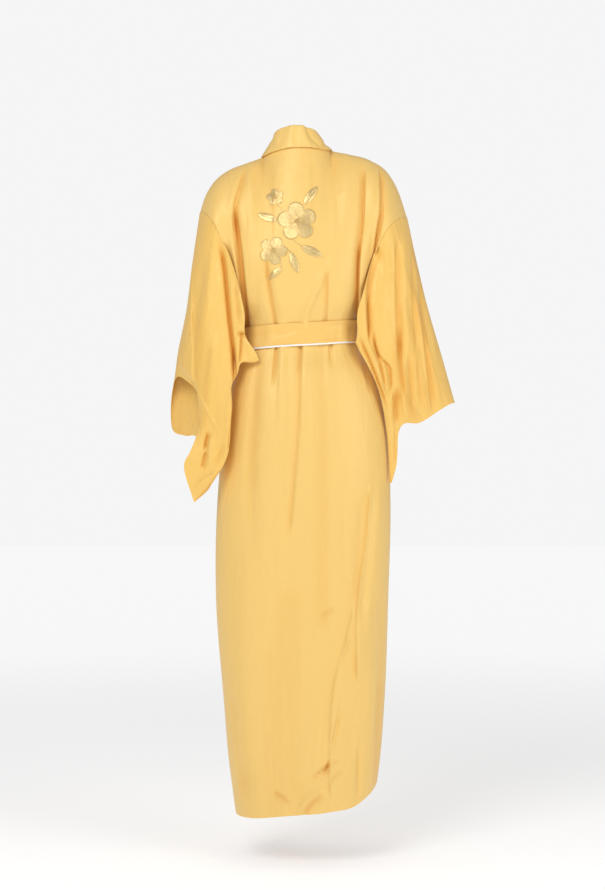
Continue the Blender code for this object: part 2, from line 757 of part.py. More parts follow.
def knot_underside(across, out):
    """How far below its centre the knot's underside lies."""
    power = 2 / KNOT_SQUARE
    round_part = abs(2 * across / KNOT_SIZE[0]) ** power + abs(2 * out / KNOT_SIZE[1]) ** power
    height = np.maximum(1 - round_part, 0) ** (1 / power) * KNOT_SIZE[2] / 2
    return height * knot_pinch(across)


def belt_end_points(side, centre):
    """Rows down one hanging end, four points across it. It leaves the knot pinched and then opens out."""
    down = np.linspace(0, 1, 13)[:, None]
    across = np.linspace(-0.5, 0.5, 4)[None, :]
    level = belt_middle(KNOT_ANGLE) + KNOT_SIZE[2] / 2 + down * END_LENGTH
    lean = side * (END_TOP_LEAN + END_LEAN * down)
    width = END_TOP_DEGREES + (END_DEGREES - END_TOP_DEGREES) * ramp(down, 0, END_OPENED)
    angle = KNOT_ANGLE - lean + across * width * (1 - END_TAPER * down)
    top_off = BELT_LIFT + KNOT_SIZE[1] / 2
    off = top_off - side * END_APART - END_DROP_IN * ramp(down, 0, 0.3) + END_WAVE * np.sin(down * 6)
    points = body_cloth(level, angle, LAP + COLLAR_LIFT + off)
    from_centre = points[0] - centre
    hung = -knot_underside(from_centre[:, 0], from_centre[:, 1]) - END_TOP_GAP
    points[..., 2] += (hung - from_centre[:, 2]) * (1 - ramp(down, 0, 0.25))
    return points


def add_knot(cloth, cord):
    centre = knot_centre()
    bm = bmesh.new()
    bmesh.ops.create_uvsphere(bm, u_segments=16, v_segments=10, radius=0.5)
    for vert in bm.verts:
        # Squared sides and a pinched middle make a plain knot of the ball.
        squared = Vector(math.copysign(abs(2 * c) ** KNOT_SQUARE, c) / 2 for c in vert.co)
        squared.z *= knot_pinch(squared.x * KNOT_SIZE[0])
        vert.co = Vector(s * k for s, k in zip(squared, KNOT_SIZE)) + Vector(centre)
    mesh = bpy.data.meshes.new("belt_knot")
    bm.to_mesh(mesh)
    bm.free()
    mesh.shade_smooth()
    add_object("belt_knot", mesh, cloth)
    for side, name in ((1, "belt_end_left"), (-1, "belt_end_right")):
        points = belt_end_points(side, centre)
        add_cloth(name, cloth_mesh(name, [points]), FOLDED_WALL, cloth)
        edge = points[:, -1] if side < 0 else points[:, 0]
        inner = points[:, -2] if side < 0 else points[:, 1]
        beside = edge + unit(edge - inner) * (PIPING_RADIUS + SEAM_GAP)
        add_cord("piping_" + name[5:], beside, PIPING_RADIUS, cord)


class BackFace:
    """The outer face of the two backs, for laying embroidery on."""

    def __init__(self, pieces):
        bm = bmesh.new()
        for piece in pieces:
            bm.from_mesh(piece.data)
        self.tree = BVHTree.FromBMesh(bm)
        bm.free()

    def point(self, across, up, height):
        """A point that height off the cloth, behind a place on the spray's own plane."""
        start = Vector((SPRAY_CENTRE[0] + across, 1.0, SPRAY_CENTRE[1] + up))
        if abs(start.x) < 2 * SEAM_TRIM:
            start.x = 2 * SEAM_TRIM  # the centre seam itself is open
        place = self.tree.ray_cast(start, Vector((0, -1, 0)))[0]
        return Vector((SPRAY_CENTRE[0] + across, place.y + height, place.z))


def pad_mesh(name, back, outline, centre, rise):
    """A closed pad: outline(i) gives the rim, rise(share, i) the height from the centre out."""
    rings = (0.28, 0.62, 0.88, 1.0)
    count = len(outline)
    bm = bmesh.new()
    top_centre = bm.verts.new(back.point(*centre, SPRAY_STAND_OFF + rise(0, 0)))
    low_centre = bm.verts.new(back.point(*centre, SPRAY_STAND_OFF))

    def ring(share, height):
        made = []
        for i, rim in enumerate(outline):
            across = centre[0] + (rim[0] - centre[0]) * share
            up = centre[1] + (rim[1] - centre[1]) * share
            made.append(bm.verts.new(back.point(across, up, SPRAY_STAND_OFF + height(share, i))))
        return made

    top = [ring(share, rise) for share in rings]
    low = [ring(share, lambda share, i: 0.0) for share in rings[1::2]]
    for rows, middle, up in ((top, top_centre, True), (low, low_centre, False)):
        for i in range(count):
            j = (i + 1) % count
            face = (middle, rows[0][j], rows[0][i])
            bm.faces.new(face if up else face[::-1])
            for inner, outer in zip(rows, rows[1:]):
                face = (inner[i], inner[j], outer[j], outer[i])
                bm.faces.new(face if up else face[::-1])
    for i in range(count):
        j = (i + 1) % count
        bm.faces.new((top[-1][i], top[-1][j], low[-1][j], low[-1][i]))
    bmesh.ops.recalc_face_normals(bm, faces=bm.faces)
    mesh = bpy.data.meshes.new(name)
    bm.to_mesh(mesh)
    bm.free()
    mesh.shade_smooth()
    return mesh


def add_blossom(number, back, material):
    across, up, radius, turn, thick = (
        BLOSSOMS[c][number] for c in ("across", "up", "radius", "turn", "thick")
    )
    steps = PETALS * 6
    angles = np.radians(turn) + np.arange(steps) * 2 * math.pi / steps
    lobes = np.abs(np.cos((angles - np.radians(turn)) * PETALS / 2))
    reach = radius * (0.60 + 0.40 * lobes**0.6)
    outline = list(zip(across + reach * np.cos(angles), up + reach * np.sin(angles)))

    def rise(share, i):
        boss = 0.5 * bell(share, 0.3)
        petal = 0.45 + 0.55 * lobes[i]
        return thick * (boss + petal * (1 - 0.55 * share**2))

    name = "flower_" + str(number + 1)
    return add_object(name, pad_mesh(name, back, outline, (across, up), rise), material)


def add_leaf(number, back, material):
    across, up, length, width, turn = (
        LEAVES[c][number] for c in ("across", "up", "length", "width", "turn")
    )
    steps = 16
    angles = np.arange(steps) * 2 * math.pi / steps
    lengthwise = length / 2 * np.cos(angles)
    sideways = width / 2 * np.sin(angles) * np.abs(np.sin(angles)) ** 0.35
    lean = np.radians(turn)
    outline = list(
        zip(
            across + lengthwise * math.cos(lean) - sideways * math.sin(lean),
            up + lengthwise * math.sin(lean) + sideways * math.cos(lean),
        )
    )
    name = "leaf_" + str(number + 1)
    mesh = pad_mesh(
        name, back, outline, (across, up), lambda share, i: LEAF_THICK * (1 - 0.6 * share**2)
    )
    return add_object(name, mesh, material)


def clear_scene():
    for old in list(bpy.data.objects):
        bpy.data.objects.remove(old)


def build():
    clear_scene()
    satin = finish_material("yellow_satin", (0.86, 0.56, 0.20), 0.38)
    belt_satin = finish_material("belt_satin", (0.88, 0.57, 0.19), 0.42)
    white_cord = finish_material("white_cord", (0.90, 0.90, 0.88), 0.6)
    gold_thread = finish_material("gold_thread", (0.78, 0.58, 0.24), 0.35, 0.6)
    lengths = [add_body_length(side, satin) for side in (1, -1)]
    for side in (1, -1):
        add_overlap(side, satin)
        add_sleeve(side, satin)
    add_collar(satin)
    add_belt(belt_satin, white_cord)
    add_knot(belt_satin, white_cord)
    back = BackFace(lengths)
    for number in range(len(BLOSSOMS["radius"])):
        add_blossom(number, back, gold_thread)
    for number in range(len(LEAVES["length"])):
        add_leaf(number, back, gold_thread)


build()
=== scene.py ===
import math

import bmesh
import bpy
import numpy as np
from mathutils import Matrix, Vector
from mathutils.bvhtree import BVHTree


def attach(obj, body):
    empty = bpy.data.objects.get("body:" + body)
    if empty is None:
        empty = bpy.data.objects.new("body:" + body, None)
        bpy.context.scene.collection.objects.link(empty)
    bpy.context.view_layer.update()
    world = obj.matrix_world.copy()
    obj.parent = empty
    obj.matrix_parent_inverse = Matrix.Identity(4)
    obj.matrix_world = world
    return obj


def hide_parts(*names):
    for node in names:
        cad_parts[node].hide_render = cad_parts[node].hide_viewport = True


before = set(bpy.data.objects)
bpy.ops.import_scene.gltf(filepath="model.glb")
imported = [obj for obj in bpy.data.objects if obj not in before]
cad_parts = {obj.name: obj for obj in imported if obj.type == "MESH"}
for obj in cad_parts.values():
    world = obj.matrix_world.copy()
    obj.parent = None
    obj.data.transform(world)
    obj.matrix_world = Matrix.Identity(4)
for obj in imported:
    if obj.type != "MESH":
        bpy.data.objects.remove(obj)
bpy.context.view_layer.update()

print("packed solids loaded")

# The camera looks at the back of the robe. Creases are placed in its picture points, 2.22 mm each
# on the plane through the nape, and the front's in the same points seen from straight ahead.
camera = {
    "place": (-0.0078, 4.5, -0.655),
    "lens": 81.9,
    "sensor": 36.0,
    "point": 0.00222,
    "nape": (299, 150),
    "creaseEnds": 0.32,
    "creaseEndMost": 22,
}


def table(columns, *rows):
    return {name: np.array([row[i] for row in rows], float) for i, name in enumerate(columns)}


def along(rows, key, column, at):
    # a column's value on a smooth curve through the rows
    places = rows[key]
    values = rows[column]
    slopes = np.gradient(values, places)
    at = np.clip(at, places[0], places[-1])
    i = np.clip(np.searchsorted(places, at, side="right") - 1, 0, len(places) - 2)
    step = places[i + 1] - places[i]
    t = (at - places[i]) / step
    start = (1 + 2 * t) * (1 - t) ** 2 * values[i] + t * (1 - t) ** 2 * step * slopes[i]
    end = t * t * (3 - 2 * t) * values[i + 1] + t * t * (t - 1) * step * slopes[i + 1]
    return start + end


def ramp(value, low, high):
    t = np.clip((value - low) / (high - low), 0, 1)
    return t * t * (3 - 2 * t)


def bell(value, width):
    return np.exp(-((value / width) ** 2))


def unit(vectors):
    return vectors / np.maximum(np.linalg.norm(vectors, axis=-1, keepdims=True), 1e-12)


def seenAt(points, fromFront=False):
    turn = -1 if fromFront else 1
    away = camera["place"][1]
    near = away / (away - turn * points[..., 1])
    across = camera["place"][0] + (turn * points[..., 0] - camera["place"][0]) * near
    up = camera["place"][2] + (points[..., 2] - camera["place"][2]) * near
    return camera["nape"][0] - across / camera["point"], camera["nape"][1] - up / camera["point"]


def creased(points, rows, fromFront=False):
    # Each row is a path of picture points, then a height in mm and how many points wide the crease is
    # before the path (left of it, or above a flat one) and after it. Its ends fade over a part of its
    # length, or over a number of points on a long one.
    across, down = seenAt(points, fromFront)
    total = np.zeros(across.shape)
    for *path, height, before, after in rows:
        path = np.array(path, float)
        reachX, reachY = np.abs(path[-1] - path[0])
        upright = reachY >= reachX
        run, beside = (down, across) if upright else (across, down)
        path = path[np.argsort(path[:, 1 if upright else 0])]
        line = {"run": path[:, 1 if upright else 0], "beside": path[:, 0 if upright else 1]}
        first, last = line["run"][0], line["run"][-1]
        slope = (line["beside"][-1] - line["beside"][0]) / (last - first)
        off = (beside - along(line, "run", "beside", run)) / math.hypot(1, slope)
        end = min(camera["creaseEnds"] * (last - first), camera["creaseEndMost"])
        shown = ramp(run, first, first + end) * (1 - ramp(run, last - end, last))
        total += height * 0.001 * shown * bell(off, np.where(off < 0, before, after))
    return total


# materials

silk = {
    "looks": {
        "robe": {"light": (0.87, 0.575, 0.178), "roughness": 0.37, "dents": 0.35, "creases": 0.10},
        # the sleeves' silk is the robe's silk in a darker, more saturated orange: painted shade
        "sleeve": {"light": (0.88, 0.55, 0.145), "roughness": 0.32, "dents": 0.55, "creases": 0.25},
        "belt": {"light": (0.88, 0.55, 0.155), "roughness": 0.37, "dents": 0.35, "creases": 0.15},
    },
    # the colour the cloth turns to in the troughs of its folds, the most of it, and the fold height where it
    # is full: painted shade
    "foldShade": (0.72, 0.30, 0.028),
    "foldShadeMost": 0.72,
    "foldShadeAt": 0.015,
    "colourStreak": 0.09,
    "roughStreak": 0.14,
    "sheen": {"Sheen Weight": 0.25, "Sheen Roughness": 0.4, "Sheen Tint": (1.0, 0.72, 0.32, 1)},
    "shine": {"Specular Tint": (1.0, 0.86, 0.60, 1), "Anisotropic": 0.45},
    "dentSize": 0.035,
    "dentDepth": 0.006,
    "creaseDepth": 0.001,
    "slubWidth": 0.0016,
    "slubBump": (0.12, 0.0003),
    "threadWidth": 0.0005,
    "threadBump": (0.15, 0.0001),
}
whiteCord = {
    "colours": ((0.86, 0.84, 0.80), (0.97, 0.96, 0.94)),
    "grain": 900.0,
    "bump": (0.4, 0.0002),
    "sheen": {"Roughness": 0.55, "Sheen Weight": 0.2},
}
goldThread = {
    # a dark and a pale gold, mixed by a fine noise: painted shadow and painted glints on the thread
    "colours": ((0.48, 0.27, 0.05), (1.0, 0.80, 0.38)),
    "patch": (0.92, 0.70, 0.34),
    "patchShare": 0.5,
    "patchScale": 60.0,
    "glintScale": 420.0,
    "bump": (0.7, 0.0006),
    "roughness": (0.22, 0.2),
    "sheen": {"Metallic": 0.7, "Sheen Weight": 0.15},
}


def feed(tree, node, values):
    # each input takes a value or another node's output
    for name, value in values.items():
        if isinstance(value, bpy.types.NodeSocket):
            tree.links.new(value, node.inputs[name])
        else:
            node.inputs[name].default_value = value


def newNode(tree, kind, values, **settings):
    node = tree.nodes.new("ShaderNode" + kind)
    for name, value in settings.items():
        setattr(node, name, value)
    feed(tree, node, values)
    return node


def mathNode(tree, operation, *values):
    return newNode(tree, "Math", dict(enumerate(values)), operation=operation).outputs[0]


def added(tree, first, second):
    return mathNode(tree, "ADD", first, second)


def times(tree, first, second):
    return mathNode(tree, "MULTIPLY", first, second)


def noiseNode(tree, vector, scale, detail=3.0, roughness=0.55, distortion=0.0):
    values = {"Vector": vector, "Scale": scale, "Detail": detail, "Roughness": roughness}
    return newNode(tree, "TexNoise", {**values, "Distortion": distortion}).outputs["Fac"]


def stretched(tree, vector, amount):
    return newNode(tree, "VectorMath", {0: vector, 1: amount}, operation="MULTIPLY").outputs[0]


def mixColour(tree, share, first, second, mode="MIX"):
    first, second = ((*value, 1) if isinstance(value, tuple) else value for value in (first, second))
    values = {0: share, 6: first, 7: second}
    return newNode(tree, "Mix", values, data_type="RGBA", blend_type=mode).outputs[2]


def bumpNode(tree, height, strength, distance, normal=None):
    values = {"Height": height, "Strength": strength, "Distance": distance}
    if normal is not None:
        values["Normal"] = normal
    return newNode(tree, "Bump", values).outputs["Normal"]


def newGroup(name, size, width, outputs):
    # a group takes a place in the cut cloth and a size, and gives numbers
    group = bpy.data.node_groups.new(name, "ShaderNodeTree")
    group.interface.new_socket("Cut", in_out="INPUT", socket_type="NodeSocketVector")
    socket = group.interface.new_socket(size, in_out="INPUT", socket_type="NodeSocketFloat")
    socket.default_value = width
    for socketName in outputs:
        group.interface.new_socket(socketName, in_out="OUTPUT", socket_type="NodeSocketFloat")
    given = group.nodes.new("NodeGroupInput").outputs
    return group, given["Cut"], given[size], group.nodes.new("NodeGroupOutput")


def satinSlubsGroup():
    # long thin warp streaks: uneven silk filaments that catch the light down the cloth
    group, cut, width, made = newGroup("satinSlubs", "Width", silk["slubWidth"], ("Shade", "Height"))
    scale = mathNode(group, "DIVIDE", 1.0, width)
    fine = noiseNode(group, stretched(group, cut, (1.0, 0.035, 1.0)), scale, 2.0)
    wide = noiseNode(group, stretched(group, cut, (0.16, 0.008, 1.0)), scale, 2.0)
    shade = added(group, times(group, fine, 0.4), times(group, wide, 0.6))
    feed(group, made, {"Shade": shade, "Height": fine})
    return group


def satinWeaveGroup():
    # warp threads side by side, each bound by the weft at steps
    group, cut, width, made = newGroup("satinWeave", "Thread", silk["threadWidth"], ("Height",))
    x, y, _ = newNode(group, "SeparateXYZ", {0: cut}).outputs
    turn = mathNode(group, "DIVIDE", 2 * math.pi, width)
    warp = mathNode(group, "SINE", times(group, x, turn))
    slant = added(group, y, times(group, x, 0.4))
    weft = mathNode(group, "SINE", times(group, slant, times(group, turn, 0.4)))
    both = added(group, times(group, warp, 0.35), times(group, weft, 0.15))
    feed(group, made, {"Height": added(group, both, 0.5)})
    return group


def handlingGroup():
    # the soft dents and faint creases that thin silk keeps from being worn
    group, cut, size, made = newGroup("handling", "Size", silk["dentSize"], ("Height", "Crease"))
    scale = mathNode(group, "DIVIDE", 1.0, size)
    tall = stretched(group, cut, (1.0, 0.45, 1.0))
    soft = noiseNode(group, tall, scale, 3.0, 0.5, 0.6)
    small = noiseNode(group, tall, times(group, scale, 2.6), 4.0, 0.55, 1.2)
    swing = mathNode(group, "SUBTRACT", times(group, small, 2.0), 1.0)
    ridge = mathNode(group, "SUBTRACT", 1.0, mathNode(group, "ABSOLUTE", swing))
    feed(group, made, {"Height": soft, "Crease": mathNode(group, "POWER", ridge, 9.0)})
    return group


groups = (satinSlubsGroup(), satinWeaveGroup(), handlingGroup())


def newMaterial(name):
    material = bpy.data.materials.new(name)
    material.use_nodes = True
    tree = material.node_tree
    return material, tree, tree.nodes["Principled BSDF"]


def silkMaterial(name, light, roughness, dents, creases):
    material, tree, shader = newMaterial(name)
    cut = newNode(tree, "UVMap", {}, uv_map="cut").outputs[0]
    # the depth attribute darkens the colour towards the fold colour in the troughs: painted shade
    depth = newNode(tree, "Attribute", {}, attribute_name="depth").outputs["Fac"]
    slubs, weave, worn = (newNode(tree, "Group", {"Cut": cut}, node_tree=group).outputs for group in groups)
    streak = mathNode(tree, "SUBTRACT", slubs["Shade"], 0.5)
    brighter = added(tree, times(tree, streak, silk["colourStreak"]), 1.0)
    tone = newNode(tree, "CombineColor", {0: brighter, 1: brighter, 2: brighter}).outputs[0]
    colour = mixColour(tree, 1.0, mixColour(tree, depth, light, silk["foldShade"]), tone, "MULTIPLY")
    rough = times(tree, slubs["Shade"], silk["roughStreak"])
    rough = added(tree, rough, roughness - silk["roughStreak"] / 2)
    normal = bumpNode(tree, worn["Height"], dents, silk["dentDepth"])
    normal = bumpNode(tree, worn["Crease"], creases, silk["creaseDepth"], normal)
    normal = bumpNode(tree, slubs["Height"], *silk["slubBump"], normal)
    normal = bumpNode(tree, weave["Height"], *silk["threadBump"], normal)
    feed(tree, shader, {"Base Color": colour, "Roughness": rough, "Normal": normal})
    feed(tree, shader, {**silk["sheen"], **silk["shine"]})
    return material


def cordMaterial():
    material, tree, shader = newMaterial("whiteCord")
    place = newNode(tree, "TexCoord", {}).outputs["Object"]
    grain = noiseNode(tree, place, whiteCord["grain"], 3.0)
    colour = mixColour(tree, grain, *whiteCord["colours"])
    feed(tree, shader, {"Base Color": colour, "Normal": bumpNode(tree, grain, *whiteCord["bump"])})
    feed(tree, shader, whiteCord["sheen"])
    return material


def goldMaterial():
    material, tree, shader = newMaterial("goldThread")
    place = newNode(tree, "TexCoord", {}).outputs["Object"]
    # the colour swings from the dark to the pale gold with a fine noise: painted shadow and painted glints;
    # the same noise also gives roughness and bumps
    glint = noiseNode(tree, place, goldThread["glintScale"], 4.0, 0.65)
    patch = noiseNode(tree, place, goldThread["patchScale"], 2.0)
    patch = times(tree, patch, goldThread["patchShare"])
    colour = mixColour(tree, patch, mixColour(tree, glint, *goldThread["colours"]), goldThread["patch"])
    least, spread = goldThread["roughness"]
    rough = added(tree, times(tree, glint, spread), least)
    normal = bumpNode(tree, glint, *goldThread["bump"])
    feed(tree, shader, {"Base Color": colour, "Roughness": rough, "Normal": normal, **goldThread["sheen"]})
    return material


materials = {use: silkMaterial(use + "Satin", **look) for use, look in silk["looks"].items()}
materials["cord"] = cordMaterial()
materials["gold"] = goldMaterial()
print("materials ready")

# the body cloth's form

robe = {
    "armpitDrop": 0.300,
    "neckPart": 0.30,
    "neckBack": 0.062,
    "neckFront": 0.055,
    "backSwell": 0.078,
    "frontSwell": 0.065,
    "lap": 0.0088,
    "lapDegrees": (92, 110),
    "lapLevels": (-0.7, -0.4),
    "hangFrom": (0.15, 0.45),
    "shoulderBend": 1.2,
    "wall": 0.0007,
    "weld": 1e-5,
    "foldEnds": 0.3,
    "backRows": (60, 34, 130),
    "frontRows": (40, 22, 60),
    "overlapRows": (24, 124),
    "overlapColumns": 26,
    "neckColumns": 48,
    "sideColumns": 96,
    "sideCrowd": 1.1,
    "skirtLevel": 0.2,
    "skirtCrowd": 0.85,
    "overlapSeamAngle": 187.0,
    "frontSideAngle": 90 + 1e-5,
    # how much of the main folds' height is painted as shade
    "mainFoldShade": 0.45,
    "overlapTopLevel": 0.085,
    "seamDip": 0.0002,
    "seamDipWidth": 0.0012,
    "ridgeFade": 0.07,
    "sleeveDegrees": (84, 90, 96),
    "backShare": 0.10,
    "backCut": (0, 0, 0.30, 1.47),
    "frontCut": (0.35, 0, 0.30, 1.45),
    "overlapCut": (0, 0, 0.15, 1.12),
}

body = table(
    ("drop", "left", "right", "back", "front", "square"),
    (0.300, 0.158, 0.160, 0.112, 0.108, 2.8),
    (0.345, 0.150, 0.153, 0.103, 0.104, 2.7),
    (0.380, 0.132, 0.136, 0.091, 0.096, 2.5),
    (0.450, 0.131, 0.138, 0.091, 0.096, 2.5),
    (0.490, 0.143, 0.164, 0.105, 0.106, 2.4),
    (0.580, 0.160, 0.190, 0.120, 0.114, 2.4),
    (0.680, 0.173, 0.200, 0.128, 0.121, 2.4),
    (0.780, 0.181, 0.203, 0.130, 0.126, 2.4),
    (1.000, 0.184, 0.198, 0.128, 0.130, 2.4),
    (1.220, 0.167, 0.190, 0.124, 0.128, 2.4),
    (1.360, 0.155, 0.179, 0.121, 0.124, 2.3),
    (1.420, 0.147, 0.171, 0.120, 0.122, 2.3),
    (1.480, 0.139, 0.162, 0.118, 0.120, 2.3),
)
shoulders = {
    1: table(
        ("part", "out", "drop"),
        (0.00, 0.078, 0.015),
        (0.25, 0.118, 0.030),
        (0.50, 0.160, 0.047),
        (0.70, 0.190, 0.072),
        (0.85, 0.208, 0.102),
        (1.00, 0.220, 0.139),
    ),
    -1: table(
        ("part", "out", "drop"),
        (0.00, 0.068, 0.001),
        (0.25, 0.112, 0.010),
        (0.50, 0.158, 0.023),
        (0.70, 0.196, 0.049),
        (0.85, 0.220, 0.090),
        (1.00, 0.240, 0.150),
    ),
}
hem = table(
    ("angle", "drop"),
    (0, 1.4565),
    (45, 1.468),
    (90, 1.467),
    (135, 1.450),
    (180, 1.425),
    (238, 1.394),
    (270, 1.398),
    (300, 1.424),
    (318, 1.4435),
    (340, 1.451),
    (360, 1.4565),
)
frontEdge = table(
    ("level", "angle"),
    (-1.00, 153),
    (-0.70, 149),
    (-0.40, 150),
    (-0.20, 157),
    (0.00, 170),
    (0.05, 178),
    (0.11, 193),
    (0.20, 208),
    (0.32, 220),
    (0.45, 227),
    (1.20, 229),
)
foldColumns = ("from", "fromTurn", "to", "toTurn", "height", "width")
mainFolds = table(
    foldColumns,
    (-0.20, 19, 0.09, 17, -0.003, 4.0),
    (-0.25, -14, 0.09, -12, -0.003, 4.0),
    (0.14, 35, 0.60, 30, -0.004, 6.0),
    (0.14, -30, 0.55, -24, -0.003, 6.0),
    (0.40, -52, 0.80, -38, -0.006, 5.0),
    (0.60, 12, 1.30, 22, -0.003, 8.0),
    (0.75, -20, 1.30, -10, 0.003, 8.0),
    (-0.85, 128, 0.06, 118, -0.014, 5.0),
    (-0.85, -128, 0.06, -118, -0.014, 5.0),
    (0.16, 150, 0.90, 140, -0.005, 7.0),
    (0.16, 205, 1.30, 214, -0.005, 7.0),
)


def bySide(sine, left, right):
    return np.where(sine >= 0, left, right)


def sectionPoint(drop, angle):
    sine = np.sin(np.radians(angle))
    cosine = np.cos(np.radians(angle))
    power = 2 / along(body, "drop", "square", drop)
    half = bySide(sine, along(body, "drop", "left", drop), along(body, "drop", "right", drop))
    depth = np.where(cosine >= 0, along(body, "drop", "back", drop), along(body, "drop", "front", drop))
    x = half * np.sign(sine) * np.abs(sine) ** power
    y = depth * np.sign(cosine) * np.abs(cosine) ** power
    return np.stack(np.broadcast_arrays(x, y, -drop), axis=-1)


def shoulderPoint(out, sine, cosine):
    neck = np.clip(out / robe["neckPart"], 0, 1) * math.pi / 2
    part = np.clip((out - robe["neckPart"]) / (1 - robe["neckPart"]), 0, 1)
    reach = bySide(sine, along(shoulders[1], "part", "out", part), along(shoulders[-1], "part", "out", part))
    fall = bySide(sine, along(shoulders[1], "part", "drop", part), along(shoulders[-1], "part", "drop", part))
    x = np.where(sine >= 0, 1, -1) * reach * np.sin(neck)
    y = np.cos(neck) * np.where(cosine >= 0, robe["neckBack"], -robe["neckFront"])
    return np.stack(np.broadcast_arrays(x, y, -fall * np.sin(neck) ** 2), axis=-1)


def yokePoint(share, angle):
    sine = np.sin(np.radians(angle))
    cosine = np.cos(np.radians(angle))
    out = np.degrees(np.arcsin(np.clip(np.abs(sine), 0, 1))) / 90
    top = shoulderPoint(out, sine, cosine)
    low = sectionPoint(np.full_like(share, robe["armpitDrop"]), angle)
    turn = share * math.pi / 2
    hanging = ramp(out, *robe["hangFrom"])
    x = top[..., 0] + (low[..., 0] - top[..., 0]) * np.sin(turn) ** robe["shoulderBend"]
    y = top[..., 1] + (low[..., 1] - top[..., 1]) * np.sin(turn)
    fallen = (1 - hanging) * share + hanging * (1 - np.cos(turn))
    z = top[..., 2] + (low[..., 2] - top[..., 2]) * fallen
    swell = np.where(cosine >= 0, robe["backSwell"], -robe["frontSwell"])
    return np.stack([x, y + swell * out**3 * np.sin(share * math.pi), z], axis=-1)


def smoothBody(level, angle):
    level, angle = np.broadcast_arrays(np.asarray(level, float), np.asarray(angle, float))
    below = sectionPoint(robe["armpitDrop"] + np.maximum(level, 0), angle)
    above = yokePoint(np.clip(1 + level, 0, 1), angle)
    return np.where((level < 0)[..., None], above, below)


def outward(level, angle):
    nearby = 0.004
    level = np.maximum(level, -1 + nearby)
    around = smoothBody(level, angle + 0.5) - smoothBody(level, angle - 0.5)
    down = smoothBody(level + nearby, angle) - smoothBody(level - nearby, angle)
    return unit(np.cross(around, down))


def turned(angle, other):
    return (angle - other + 180) % 360 - 180


def foldHeight(rows, down, around):
    # broad soft folds, each along a straight line from one place and turn to another
    total = np.zeros(np.broadcast(down, around).shape)
    for start, startTurn, end, endTurn, height, width in zip(*rows.values()):
        share = (down - start) / (end - start)
        line = startTurn + share * (endTurn - startTurn)
        shown = ramp(share, 0, robe["foldEnds"]) * (1 - ramp(share, 1 - robe["foldEnds"], 1))
        total += height * shown * bell(turned(around, line), width)
    return total


def bodyCloth(level, angle, lift=0.0):
    level, angle = np.broadcast_arrays(np.asarray(level, float), np.asarray(angle, float))
    height = foldHeight(mainFolds, level, angle) + lift
    return smoothBody(level, angle) + outward(level, angle) * height[..., None]


def frontLap(side, level, angle):
    # the left front lies over the right one
    if side < 0:
        return np.zeros(np.broadcast(level, angle).shape)
    return robe["lap"] * ramp(angle, *robe["lapDegrees"]) * ramp(level, *robe["lapLevels"])


def hemLevel(angle):
    return along(hem, "angle", "drop", np.asarray(angle, float) % 360) - robe["armpitDrop"]


# cloth helpers


def gridNormals(points):
    # out of the cloth, for columns in the order of the angle and rows going down
    across = np.gradient(points, axis=1)
    down = np.gradient(points, axis=0)
    return unit(np.cross(across, down))


def edgeDips(points, first=False, last=False, bottom=False):
    # how far the cloth rolls down into a seam along the chosen edges
    total = np.zeros(points.shape[:2])
    widths = np.linalg.norm(np.diff(points, axis=1), axis=-1)
    lengths = np.linalg.norm(np.diff(points, axis=0), axis=-1)
    fromFirst = np.concatenate([np.zeros((points.shape[0], 1)), np.cumsum(widths, axis=1)], axis=1)
    fromTop = np.concatenate([np.zeros((1, points.shape[1])), np.cumsum(lengths, axis=0)], axis=0)
    for wanted, distance in (
        (first, fromFirst),
        (last, fromFirst[:, -1:] - fromFirst),
        (bottom, fromTop[-1:] - fromTop),
    ):
        if wanted:
            total -= robe["seamDip"] * bell(distance, robe["seamDipWidth"])
    return total


def sideName(start, side):
    return start + ("Left" if side > 0 else "Right")


def sideNode(start, side):
    return start + ("_left" if side > 0 else "_right")


def addPiece(name, bm, look, *nodes):
    # an open edge is sharp, so that a seam isn't shaded as a dark line
    for edge in bm.edges:
        edge.smooth = not edge.is_boundary
    mesh = bpy.data.meshes.new(name)
    bm.to_mesh(mesh)
    bm.free()
    mesh.shade_smooth()
    mesh.materials.append(materials[look])
    piece = bpy.data.objects.new(name, mesh)
    bpy.context.scene.collection.objects.link(piece)
    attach(piece, "root")
    if nodes:
        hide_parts(*nodes)
    return piece


def layGrid(bm, points, depth, cutPlace):
    # one grid of the cloth: its points, how much painted fold shade each takes, and its place and size in the
    # cut
    rows, columns = points.shape[:2]
    uv = bm.loops.layers.uv["cut"]
    foldShadeLayer = bm.verts.layers.float["depth"]
    made = bmesh.ops.create_grid(bm, x_segments=columns - 1, y_segments=rows - 1, size=0.5, calc_uvs=True)
    left, top, width, length = cutPlace
    faces = {face for vert in made["verts"] for face in vert.link_faces}
    for vert, place, foldShade in zip(made["verts"], points.reshape(-1, 3).tolist(), depth.reshape(-1).tolist()):
        vert.co = place
        vert[foldShadeLayer] = foldShade
    for face in faces:
        for loop in face.loops:
            spot = loop[uv].uv
            loop[uv].uv = (left + spot.x * width, top + spot.y * length)


def startCloth():
    bm = bmesh.new()
    bm.loops.layers.uv.new("cut")
    bm.verts.layers.float.new("depth")
    return bm


def foldShadeShare(height):
    # the share of painted shade from the fold height: 0 on open cloth, 1 at the bottom of the deepest folds
    return silk["foldShadeMost"] * np.clip(-height / silk["foldShadeAt"], 0, 1)


def addThinCloth(name, node, look, wall, *grids):
    # each grid: its points, how much painted fold shade each takes, and its place and size in the cut
    bm = startCloth()
    for grid in grids:
        layGrid(bm, *grid)
    bmesh.ops.remove_doubles(bm, verts=bm.verts, dist=robe["weld"])
    piece = addPiece(name, bm, look, node)
    solidify = piece.modifiers.new("wall", "SOLIDIFY")
    solidify.thickness = wall
    solidify.offset = -1
    return piece


# the two body lengths

